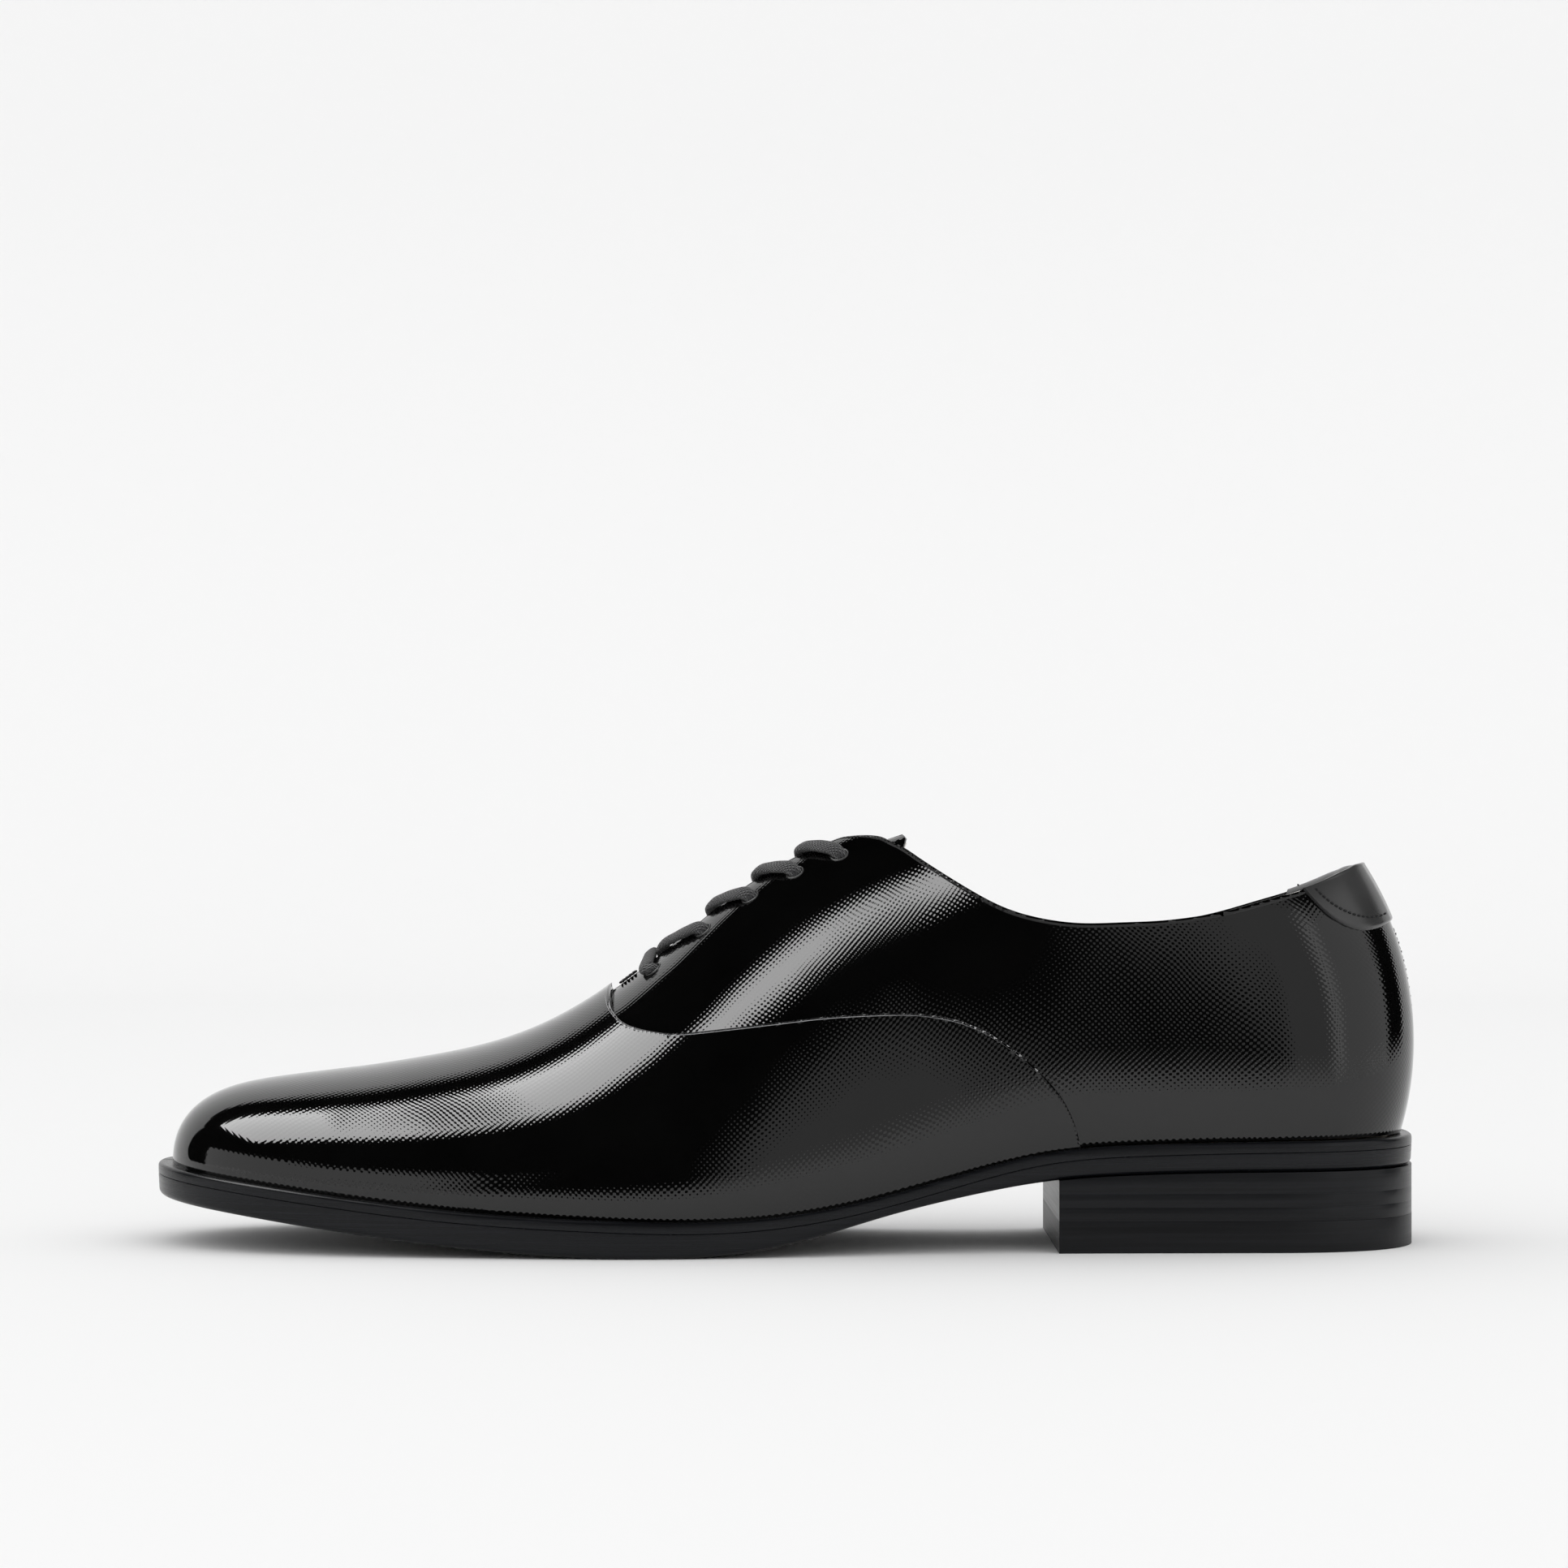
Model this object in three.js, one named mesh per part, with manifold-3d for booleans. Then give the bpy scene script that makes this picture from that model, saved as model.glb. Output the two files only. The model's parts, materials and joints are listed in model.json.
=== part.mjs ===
// Leather oxford shoe for the left foot, in millimetres: +Z up, toe to -X, outer (lateral) side to -Y.
// The upper is cut from shells around one last surface; the bottom is a stack of slabs under it.
import * as THREE from "three";
import Module from "manifold-3d";

const wasm = await Module();
wasm.setup();
const { Manifold, CrossSection } = wasm;

// ---- driving sizes ----
const LENGTH = 299.6; // feather edge, toe to heel
const BALL_WIDTH = 95; // feather edge, across the ball
const LEATHER = 1.2;
const STIFFENER = 0.7;
const LINING = 0.8;
const GAP = 0.3;
const WELT_THICKNESS = 2.6;
const HEEL_BREAST_X = 65;
const TOP_LIFT = 7.5;
const FACING_HALF_GAP = 4;
const EYELET_FROM_CENTRE = 12.5;
const EYELET_HOLE = 2.2;
const LACE_RADIUS = 1.1;
const LASTING_MARGIN = 14;
const TOE_ROUNDING = 44; // how far back the rounding of the toe runs
const HEEL_ROUNDING = 34;

// The curves below are drawn at this length and ball width, and graded to the sizes above.
const DRAWN_LENGTH = 299.6;
const DRAWN_WIDTH = 95;
const LONG = LENGTH / DRAWN_LENGTH;
const WIDE = BALL_WIDTH / DRAWN_WIDTH;
const graded = (points) => points.map(([x, ...rest]) => [x * LONG, ...rest]);
const TOE_X = -148.7 * LONG;
const HEEL_X = TOE_X + LENGTH;
const CURVE_END = 152 * LONG; // every curve along the shoe runs this far each way
const onCurve = (x) => Math.max(-CURVE_END, Math.min(CURVE_END, x));
const FAR = 170 * LONG; // past both ends of the shoe
const REACH = 95 * WIDE; // past both sides

// ---- depth of each layer below the vamp's outer face ----
const QUARTER_OUT = -(LEATHER + GAP);
const QUARTER_IN = QUARTER_OUT - 1.1;
const STIFF_OUT = QUARTER_IN - GAP;
const STIFF_IN = STIFF_OUT - STIFFENER;
const LINING_OUT = STIFF_IN - GAP;
const LINING_IN = LINING_OUT - LINING;
const LACE_UNDER = LINING_IN - 2 * GAP - LACE_RADIUS;
const TONGUE_OUT = LACE_UNDER - LACE_RADIUS - 1.5 * GAP;
const TONGUE_IN = TONGUE_OUT - LEATHER;

// ---- curves through hand-chosen points ----
function spline(points) {
  const count = points.length;
  const slope = new Array(count).fill(0);
  const ratio = new Array(count).fill(0);
  for (let i = 1; i < count - 1; i++) {
    const [x0, y0] = points[i - 1];
    const [x1, y1] = points[i];
    const [x2, y2] = points[i + 1];
    const share = (x1 - x0) / (x2 - x0);
    const divisor = share * slope[i - 1] + 2;
    const bend = (y2 - y1) / (x2 - x1) - (y1 - y0) / (x1 - x0);
    slope[i] = (share - 1) / divisor;
    ratio[i] = ((6 * bend) / (x2 - x0) - share * ratio[i - 1]) / divisor;
  }
  const second = new Array(count).fill(0);
  for (let i = count - 2; i > 0; i--) second[i] = slope[i] * second[i + 1] + ratio[i];
  return (x) => {
    let i = 0;
    while (i < count - 2 && x > points[i + 1][0]) i++;
    const [x0, y0] = points[i];
    const [x1, y1] = points[i + 1];
    const h = x1 - x0;
    const a = (x1 - x) / h;
    const b = (x - x0) / h;
    const curve = (a ** 3 - a) * second[i] + (b ** 3 - b) * second[i + 1];
    return a * y0 + b * y1 + (curve * h * h) / 6;
  };
}

// Top of the welt, underside of the outsole, and the middle line of the last in plan.
const seat = spline(graded([
  [-152, 19.4], [-120, 15.7], [-80, 11.2], [-40, 8.9], [-10, 8.8], [15, 12],
  [40, 18.3], [62, 23.6], [85, 25.5], [115, 26.2], [152, 26.5],
]));
const soleUnder = spline(graded([
  [-152, 11.6], [-126, 8.5], [-105, 5.7], [-86, 3.4], [-60, 1], [-30, 0], [-12, 0.9],
  [3.4, 3.5], [23, 8.9], [42, 13.4], [62, 16.9], [85, 18.5], [110, 19], [152, 19.2],
]));
const middle = spline(graded([[-152, 4], [-90, 4], [-60, 3.6], [-20, 2.2], [20, 1], [60, 0.2], [152, 0]]));

// Sections of the last. Each is a curve from the feather edge, past a wall handle and a
// shoulder handle, to the ridge; the widths are from the middle line.
const SECTION_KEYS = [
  "x", "footOut", "footIn", "bulgeOut", "bulgeIn", "wallHigh",
  "shoulderOut", "shoulderIn", "shoulderHigh", "wallShift", "shoulderShift", "ridgeShift", "ridgeHigh",
];
const SECTIONS = [
  [-149, 37, 34, 1, 1, 16.5, 22, 20, 25.8, 0, 0, 0, 25.8],
  [-120, 41, 37, 2, 2, 16, 23, 21, 25, 0, 0, 0, 25.3],
  [-90, 47, 42, 3, 3, 20, 25, 22, 31.6, 0, 0, 0, 31.9],
  [-60, 50.5, 44.5, 4, 4, 24, 26, 22, 42.2, 0, 0, 0, 42.2],
  [-35, 51, 42, 4, 5, 28, 26, 22, 58.5, 0, -0.5, -0.5, 58.5],
  [-10, 48, 35.5, 5, 8, 32, 25, 22, 77.5, -1, -2, -2, 77.5],
  [15, 42.5, 29, 6, 12, 35, 24, 22, 86.5, -1, -4, -5, 86.5],
  [40, 37.2, 27, 6, 11, 34, 25, 24, 86.5, -1, -5, -9, 87.5],
  [65, 34, 29, 5.5, 8, 32, 28, 27, 84, 0, -5, -14, 88],
  [90, 33, 31, 5, 6, 30, 29, 28, 79, 1, -3, -19, 88],
  [120, 32.5, 31.5, 5, 5, 27, 29, 28, 70, 3, 0, -25, 88],
  [151, 31.5, 31, 5, 5, 22, 28, 28, 58, 6.8, 5.6, -28, 86],
];
const WIDTH_KEYS = ["footOut", "footIn", "bulgeOut", "bulgeIn", "shoulderOut", "shoulderIn"];
const section = Object.fromEntries(
  SECTION_KEYS.map((key, column) => {
    const scale = WIDTH_KEYS.includes(key) ? WIDE : 1;
    return [key, spline(graded(SECTIONS.map((row) => [row[0], row[column] * scale])))];
  }),
);

// How far the ends have opened out, 0 at the tip and 1 along the body.
function toeRound(x) {
  const reach = Math.min(1, Math.max(0, (TOE_X + TOE_ROUNDING - x) / TOE_ROUNDING));
  return (1 - reach ** 2.3) ** (1 / 2.3);
}
function heelRound(x) {
  const reach = Math.min(1, Math.max(0, (x - HEEL_X + HEEL_ROUNDING) / HEEL_ROUNDING));
  return (1 - reach ** 2.4) ** (1 / 2.4);
}
const alongX = (u) => TOE_X + ((HEEL_X - TOE_X) * (1 - Math.cos(Math.PI * u))) / 2;
const alongU = (x) => Math.acos(1 - (2 * (x - TOE_X)) / (HEEL_X - TOE_X)) / Math.PI;

// side is -1 for the outer half and 1 for the inner half; t runs 0 at the feather edge to 1 at the ridge.
function lastPoint(u, t, side) {
  const x = alongX(u);
  const toe = toeRound(x);
  const round = toe * heelRound(x);
  const name = side < 0 ? "Out" : "In";
  const foot = section["foot" + name](x);
  const low = seat(x);
  const y = middle(x);
  const rail = [
    [x, y + side * foot * round, low],
    [x + section.wallShift(x), y + side * (foot + section["bulge" + name](x)) * round, low + section.wallHigh(x) * toe],
    [
      x + section.shoulderShift(x),
      y + side * section["shoulder" + name](x) * round,
      low + section.shoulderHigh(x) * toe,
    ],
    [x + section.ridgeShift(x), y, low + section.ridgeHigh(x) * toe],
  ];
  const s = 1 - t;
  const weight = [s ** 3, 3 * s * s * t, 3 * s * t * t, t ** 3];
  const at = (axis) => rail.reduce((sum, point, i) => sum + weight[i] * point[axis], 0);
  return new THREE.Vector3(at(0), at(1), at(2));
}

function lastNormal(u, t, side) {
  const step = 1e-4;
  const across = lastPoint(u, Math.min(1, t + step), side).sub(lastPoint(u, Math.max(0, t - step), side));
  const along = lastPoint(u + step, t, side).sub(lastPoint(u - step, t, side));
  return along.cross(across).multiplyScalar(-side).normalize();
}

// A point at a depth from the last surface: positive is outside it.
function onLast(u, t, side, depth) {
  const normal = lastNormal(u, t, side);
  if (t === 1) normal.add(lastNormal(u, 1, -side)).normalize();
  return lastPoint(u, t, side).addScaledVector(normal, depth);
}

// ---- solids ----
function solidOf(points, faces) {
  const volume = faces.reduce((sum, [a, b, c]) => {
    const cross = points[b].clone().cross(points[c]);
    return sum + points[a].dot(cross);
  }, 0);
  const turned = volume < 0 ? faces.map(([a, b, c]) => [a, c, b]) : faces;
  const mesh = new wasm.Mesh({
    numProp: 3,
    vertProperties: new Float32Array(points.flatMap((p) => [p.x, p.y, p.z])),
    triVerts: new Uint32Array(turned.flat()),
  });
  return new Manifold(mesh);
}

// A body through rings of the same count, closed by a ladder of faces across the first and last ring.
function loft(rings) {
  const size = rings[0].length;
  const faces = [];
  for (let i = 0; i + 1 < rings.length; i++) {
    for (let j = 0; j < size; j++) {
      const next = (j + 1) % size;
      const a = i * size + j;
      const b = i * size + next;
      faces.push([a, b, a + size], [b, b + size, a + size]);
    }
  }
  const cap = (base, turn) => {
    for (let j = 0; 2 * j + 2 < size; j++) {
      const quad = [j, j + 1, size - 2 - j, size - 1 - j].map((k) => base + k);
      const halves = [[quad[0], quad[2], quad[1]], [quad[0], quad[3], quad[2]]];
      for (const [a, b, c] of halves) {
        if (a === b || b === c || a === c) continue;
        faces.push(turn ? [a, c, b] : [a, b, c]);
      }
    }
  };
  cap(0, false);
  cap((rings.length - 1) * size, true);
  return solidOf(rings.flat(), faces);
}

const steps = (count) => Array.from({ length: count + 1 }, (_, i) => i / count);
const END = 0.012;
const STATIONS = steps(30).map((s) => END + (1 - 2 * END) * s);
const WALL_STEPS = steps(7);
const SKIRT = 9;
const BELOW = -20; // heights past the ground and past the topline
const ABOVE = 150;

const bodies = new Map();
// The whole last grown by a depth, standing on the seat line raised by a lift.
function lastBody(depth, lift) {
  const key = depth.toFixed(3) + " " + lift.toFixed(3);
  if (!bodies.has(key)) {
    const rings = STATIONS.map((u) => {
      const outer = WALL_STEPS.map((t) => onLast(u, t, -1, depth));
      const inner = WALL_STEPS.slice(0, -1).map((t) => onLast(u, t, 1, depth)).reverse();
      const below = (p) => p.clone().setZ(p.z - SKIRT);
      return [below(outer[0]), ...outer, ...inner, below(inner[inner.length - 1])];
    });
    bodies.set(key, loft(rings).subtract(underSeat(lift)));
  }
  return bodies.get(key);
}

// Everything below the seat line raised by a lift.
function underSeat(lift) {
  const rings = steps(20).map((s) => {
    const x = FAR * (2 * s - 1);
    const z = seat(onCurve(x)) + lift;
    return [[-REACH, -60], [-REACH, z], [REACH, z], [REACH, -60]].map(([y, h]) => new THREE.Vector3(x, y, h));
  });
  return loft(rings);
}

// A side-view outline (x, z) run right across the shoe.
function acrossPrism(outline) {
  return new CrossSection([outline], "EvenOdd").extrude(2 * REACH).rotate([90, 0, 0]).translate([0, REACH, 0]);
}

// A plan outline (x, y) between two heights.
function uprightPrism(outline, low, high) {
  return new CrossSection([outline], "EvenOdd").extrude(high - low).translate([0, 0, low]);
}

// One side of the shoe, kept clear of the middle line by a distance that may change along it.
function sideHalf(side, clear) {
  const line = steps(22).map((s) => {
    const x = FAR * (2 * s - 1);
    return [x, middle(onCurve(x)) + side * clear(x)];
  });
  return uprightPrism([...line, [FAR, side * REACH], [-FAR, side * REACH]], BELOW, ABOVE);
}

function wallShell(out, inside, lift) {
  return lastBody(out, lift).subtract(lastBody(inside, lift - 3));
}

// ---- the edge of the sole in plan ----
const overhang = spline(graded([[-149, 3.4], [-60, 3.2], [20, 2.2], [90, 1.7], [151, 1.2]]));
function edgePoint(u, side, out, z) {
  const foot = lastPoint(u, 0, side);
  const step = 1e-4;
  const along = lastPoint(u + step, 0, side).sub(lastPoint(u - step, 0, side)).setZ(0).normalize();
  const away = new THREE.Vector3(-along.y, along.x, 0).multiplyScalar(side);
  return foot.addScaledVector(away, out).setZ(z);
}

// A slab between heights; each level is [height at x, distance in from the sole's edge].
function slab(levels, from = END, to = 1 - END, count = 28) {
  const rings = steps(count).map((s) => {
    const u = from + (to - from) * s;
    const x = alongX(u);
    const out = overhang(x);
    const side = (which) =>
      levels.map(([height, inset]) => {
        const p = edgePoint(u, which, out - inset, 0);
        return p.setZ(height(onCurve(p.x)));
      });
    return [...side(-1), ...side(1).reverse()];
  });
  return loft(rings);
}
const level = (z) => () => z;
const over = (curve, rise) => (x) => curve(x) + rise;
const behind = (x) => uprightPrism([[x, -REACH], [x, REACH], [FAR, REACH], [FAR, -REACH]], BELOW, ABOVE);
const ahead = (x) => uprightPrism([[x, -REACH], [x, REACH], [-FAR, REACH], [-FAR, -REACH]], BELOW, ABOVE);
const plug = (inset, low, high) => slab([[over(seat, low), inset], [over(seat, high), inset]]);

// ---- outlines seen from the side ----
const SEAM = graded([
  [-42.8, 60], [-41.4, 56.9], [-37.6, 53.8], [-30.7, 52.2], [-24.3, 52], [-13.3, 53.2], [-2.5, 54.5],
  [11.9, 56.1], [28.8, 56.7], [37.3, 55.8], [42.8, 54.4], [49.1, 51.5], [56.9, 46], [64.6, 38],
  [68.4, 31], [70.3, 24],
]);
const THROAT_X = SEAM[0][0];
const SEAM_FOOT_X = 71 * LONG;
const LAP = 8; // how far the quarters run on under the vamp
const LAP_FALL = 0.7;
const topline = spline(graded([
  [28.5, 96.6], [33.7, 93], [43, 87], [52.3, 82], [61.5, 79.3], [70.8, 78.2], [80, 78.4],
  [89.3, 78.8], [98.5, 79.9], [107.8, 81.7], [117, 84.2], [125.7, 86.6], [138.8, 91.2], [160, 98],
]));
const TOPLINE_START = 28.5 * LONG;
const TOPLINE_END = 158 * LONG;
const LEVEL_BEHIND = 150 * LONG; // the two sides meet here, at the same height
const MEDIAL_DROP = 2.4;
function toplineAt(x, side) {
  if (side < 0 || x > LEVEL_BEHIND) return topline(x);
  return topline(x) - MEDIAL_DROP * Math.sin((Math.PI * (x - TOPLINE_START)) / (LEVEL_BEHIND - TOPLINE_START));
}
function toplinePoints(side, rise, fromX = TOPLINE_START) {
  return steps(14).map((s) => {
    const x = fromX + (TOPLINE_END - fromX) * s;
    return [x, toplineAt(x, side) + rise];
  });
}
const FACING_TOP = graded([[-60, 140], [17.6, 140], [19.8, 102], [21.8, 99.6], [24.5, 98.4]]);

function upperOutline(front, side, rise = 0) {
  return acrossPrism([...front, ...FACING_TOP.map(([x, z]) => [x, z + rise]), ...toplinePoints(side, rise), [FAR, BELOW]]);
}

const FACING_END = 22 * LONG;
function facingClear(x) {
  return x < FACING_END ? FACING_HALF_GAP : Math.max(GAP / 2, FACING_HALF_GAP - (x - FACING_END) / 3);
}

// ---- eyelets ----
const EYELET_X = [-33.4, -20.6, -8.2, 3.9, 16].map((x) => x * LONG);
function faceSpot(x, out, side) {
  let low = 0.5;
  let high = 1;
  const u = alongU(x + 1.5);
  for (let i = 0; i < 40; i++) {
    const t = (low + high) / 2;
    const p = onLast(u, t, side, QUARTER_OUT);
    if (Math.abs(p.y - middle(x)) > out) low = t;
    else high = t;
  }
  return [u, low];
}
function spotPoint(x, out, side, depth) {
  const [u, t] = faceSpot(x, out, side);
  return onLast(u, t, side, depth);
}
function eyeletFrame(x, side) {
  const [u, t] = faceSpot(x, EYELET_FROM_CENTRE, side);
  return { at: onLast(u, t, side, QUARTER_OUT), axis: lastNormal(u, t, side) };
}
// A round bar along an eyelet's axis, between two depths from the last surface.
function eyeletBar(x, side, radius, out, inside, sides) {
  const { at, axis } = eyeletFrame(x, side);
  const turn = new THREE.Quaternion().setFromUnitVectors(new THREE.Vector3(0, 0, 1), axis);
  const start = at.clone().addScaledVector(axis, inside - QUARTER_OUT);
  const matrix = new THREE.Matrix4().compose(start, turn, new THREE.Vector3(1, 1, 1));
  return Manifold.cylinder(out - inside, radius, radius, sides).transform(matrix.elements);
}
function cutEyelets(body, side) {
  return EYELET_X.reduce((left, x) => left.subtract(eyeletBar(x, side, EYELET_HOLE, 3, -7, 16)), body);
}

// ---- group and materials ----
const group = new THREE.Group();
function add(name, body, color, roughness = 0.6, metalness = 0) {
  const mesh = body.simplify(0.04).getMesh();
  const stride = mesh.numProp;
  const position = new Float32Array(mesh.numVert * 3);
  for (let i = 0; i < mesh.numVert; i++) {
    position.set(mesh.vertProperties.subarray(i * stride, i * stride + 3), i * 3);
  }
  const geometry = new THREE.BufferGeometry();
  geometry.setAttribute("position", new THREE.BufferAttribute(position, 3));
  geometry.setIndex(new THREE.BufferAttribute(new Uint32Array(mesh.triVerts), 1));
  geometry.computeVertexNormals();
  const part = new THREE.Mesh(geometry, new THREE.MeshStandardMaterial({ color, roughness, metalness }));
  part.name = name;
  group.add(part);
}
const BLACK_LEATHER = 0x111214;
const PALE_LINING = 0xd9d5cc;
const SOLE_BLACK = 0x17181b;
const BOARD = 0xa98b62;
const CORK = 0x9c7448;
const STEEL = 0x9a9da1;
const BRASS = 0xb08d4a;
const COTTON = 0x141416;

// ---- upper leather ----
const marginHole = () => plug(LASTING_MARGIN, -4, 4);

function vamp() {
  const ahead = [[THROAT_X, ABOVE], [-FAR, ABOVE]];
  const outline = acrossPrism([[-FAR, BELOW], [SEAM_FOOT_X, BELOW], ...SEAM.slice().reverse(), ...ahead]);
  return lastBody(0, GAP).subtract(lastBody(-LEATHER, GAP + LEATHER)).intersect(outline).subtract(marginHole());
}

// The quarter runs on under the vamp by the lap; there it stops above the vamp's lasting margin.
function quarter(side) {
  const lapped = SEAM.map(([x, z]) => [x - LAP, z - LAP * LAP_FALL]).reverse();
  const outline = upperOutline([[SEAM_FOOT_X - LAP, BELOW], ...lapped], side);
  const shell = lastBody(QUARTER_OUT, GAP).subtract(lastBody(QUARTER_IN, GAP + LEATHER));
  const clearOfMargin = underSeat(2 * GAP + LEATHER).intersect(ahead(SEAM_FOOT_X + GAP));
  const cut = shell.intersect(outline).intersect(sideHalf(side, facingClear));
  return cutEyelets(cut.subtract(marginHole()).subtract(clearOfMargin), side);
}

const TAB_LEATHER = 0.9;
const TAB_FLAP = 1;
// A patch over the back of the topline: it covers both quarters and folds over onto the lining.
function heelTab() {
  const patch = acrossPrism(graded([
    [123.6, 110], [124.3, 86.6], [126.5, 83.9], [129.7, 80.7], [133.2, 78.3], [136.8, 76.8], [140, 76.3],
    [143.8, 76.8], [160, 79.5], [160, 110],
  ]));
  const front = 110 * LONG;
  const below = (rise) => acrossPrism([...toplinePoints(-1, rise, front), [TOPLINE_END, BELOW], [front, BELOW]]);
  const wrap = lastBody(-GAP, GAP).subtract(lastBody(LINING_IN - GAP - TAB_FLAP, -3));
  const slot = lastBody(-GAP - TAB_LEATHER, GAP).subtract(lastBody(LINING_IN - GAP, -3));
  return wrap.intersect(patch).intersect(below(GAP + TAB_FLAP)).subtract(slot.intersect(below(GAP)));
}

// ---- stiffeners between leather and lining ----
const TOE_PUFF_END = -104 * LONG;
function toePuff() {
  return wallShell(QUARTER_OUT, STIFF_IN, 2 * GAP + LEATHER).intersect(ahead(TOE_PUFF_END));
}
function vampInterlining() {
  const front = TOE_PUFF_END + 1.5 * GAP;
  const back = graded([[20, BELOW], [-12, 34], [-56, 50], [-56, 90]]);
  const outline = acrossPrism([[front, BELOW], ...back, [front, 90]]);
  return wallShell(QUARTER_OUT, QUARTER_OUT - 0.9, 2 * GAP + LEATHER).intersect(outline);
}
function heelCounter() {
  const outline = acrossPrism(graded([[74, BELOW], [78, 30], [95, 44], [120, 60], [170, 64], [170, BELOW]]));
  return wallShell(STIFF_OUT, STIFF_IN, 2 * GAP + LEATHER).intersect(outline);
}
function facingStay(side) {
  const outline = acrossPrism(graded([[-44, 42], [-38, 140], [16.5, 140], [20.5, 90], [24, 72], [-20, 52]]));
  const band = sideHalf(side, facingClear).subtract(sideHalf(side, level(EYELET_FROM_CENTRE + 6)));
  return cutEyelets(wallShell(STIFF_OUT, STIFF_IN, 3).intersect(outline).intersect(band), side);
}

// ---- lining ----
const LINING_JOIN = graded([[-10, BELOW], [-30, 30], [-46.5, 62], [-46.5, 90]]);
function vampLining() {
  const outline = acrossPrism([[-FAR, BELOW], ...LINING_JOIN, [-FAR, 90]]);
  return wallShell(LINING_OUT, LINING_IN, 2 * GAP + LEATHER).intersect(outline);
}
function quarterLining(side) {
  const front = LINING_JOIN.map(([x, z]) => [x + GAP, z]);
  const outline = upperOutline(front, side);
  const shell = wallShell(LINING_OUT, LINING_IN, 2 * GAP + LEATHER);
  return cutEyelets(shell.intersect(outline).intersect(sideHalf(side, facingClear)), side);
}
function heelGrip() {
  const outline = acrossPrism(graded([[100, 42], [104, 60], [118, 67], [170, 70], [170, 42]]));
  return wallShell(LINING_IN - GAP, LINING_IN - GAP - 0.7, 6).intersect(outline);
}

// ---- tongue ----
const TONGUE_FRONT_X = -42.5 * LONG;
const TONGUE_BACK_X = 30 * LONG;
const TONGUE_LIFT = 2.4;
const TONGUE_LIFT_RUN = 9;
// The free end lifts to the height of the facings, where no lace lies over it.
function tongueLift(x) {
  const start = TONGUE_BACK_X - TONGUE_LIFT_RUN;
  const s = Math.min(1, Math.max(0, (x - start) / TONGUE_LIFT_RUN));
  return TONGUE_LIFT * s * s * (3 - 2 * s);
}
function tongueLayer(out, inside, inset) {
  const half = spline(graded([[-60, 17], [-30, 19], [0, 23], [20, 24], [40, 20]]));
  const from = TONGUE_FRONT_X + inset;
  const to = TONGUE_BACK_X - inset;
  const rows = steps(18).map((s) => from + (to - from) * s);
  const corner = (x) => Math.min(1, Math.max(0.35, ((to + 0.5 - x) / 9) ** 0.5));
  const edge = (side) => rows.map((x) => [x, middle(x) + side * (half(x) - inset) * corner(x)]);
  const plan = uprightPrism([...edge(-1), ...edge(1).reverse()], 30, ABOVE);
  const low = [[-60, 44], [-42, 47], [-10, 61], [10, 71], [34, 80]].map(([x, z]) => [x, z + inset]);
  const flank = acrossPrism(graded([[-60, 140], ...low, [34, 140]]));
  const layer = wallShell(out, inside, 10).intersect(plan).intersect(flank);
  return layer.warp((p) => {
    p[2] += tongueLift(p[0]);
  });
}

// ---- lace ----
function tube(points, radius, sides, count) {
  const curve = new THREE.CatmullRomCurve3(points, false, "centripetal");
  const frames = curve.computeFrenetFrames(count, false);
  const rings = steps(count).map((s, i) => {
    const centre = curve.getPointAt(s);
    return Array.from({ length: sides }, (_, k) => {
      const angle = (2 * Math.PI * (k + 0.5)) / sides;
      return centre
        .clone()
        .addScaledVector(frames.normals[i], radius * Math.cos(angle))
        .addScaledVector(frames.binormals[i], radius * Math.sin(angle));
    });
  });
  return loft(rings);
}

const LACE_OVER = QUARTER_OUT + GAP + LACE_RADIUS + 0.2;
const SIDE_STEP = 1.8;
function midPoint(x, depth) {
  return onLast(alongU(x + 1.5), 1, -1, depth);
}
// One strand from the middle of the bottom bar to the inside of a top eyelet.
function strand(firstSide) {
  const points = [midPoint(EYELET_X[0], LACE_OVER + 0.4)];
  let side = firstSide;
  EYELET_X.forEach((x, i) => {
    if (i > 0) {
      const back = EYELET_X[i - 1];
      const pitch = x - back;
      points.push(spotPoint(back + 0.04 * pitch, 8.5, side, LACE_UNDER));
      points.push(spotPoint(back + 0.1 * pitch, SIDE_STEP + 0.3, side, LACE_UNDER + 0.1));
      points.push(midPoint(back + 0.17 * pitch, LACE_UNDER / 2 + 0.2));
      side = -side;
      points.push(spotPoint(back + 0.26 * pitch, SIDE_STEP + 0.9, side, LACE_OVER + 0.4));
      points.push(spotPoint(back + 0.6 * pitch, 7.2, side, LACE_OVER + 0.4));
    }
    points.push(spotPoint(x - 1.4, EYELET_FROM_CENTRE - 2.6, side, LACE_OVER + 0.2));
    points.push(spotPoint(x, EYELET_FROM_CENTRE, side, LACE_OVER - 0.6));
    points.push(spotPoint(x, EYELET_FROM_CENTRE, side, (QUARTER_OUT + LINING_IN) / 2));
    points.push(spotPoint(x, EYELET_FROM_CENTRE, side, LACE_UNDER));
  });
  return points;
}
const laceStrand = (side) => tube(strand(side), LACE_RADIUS, 8, 70);

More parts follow.
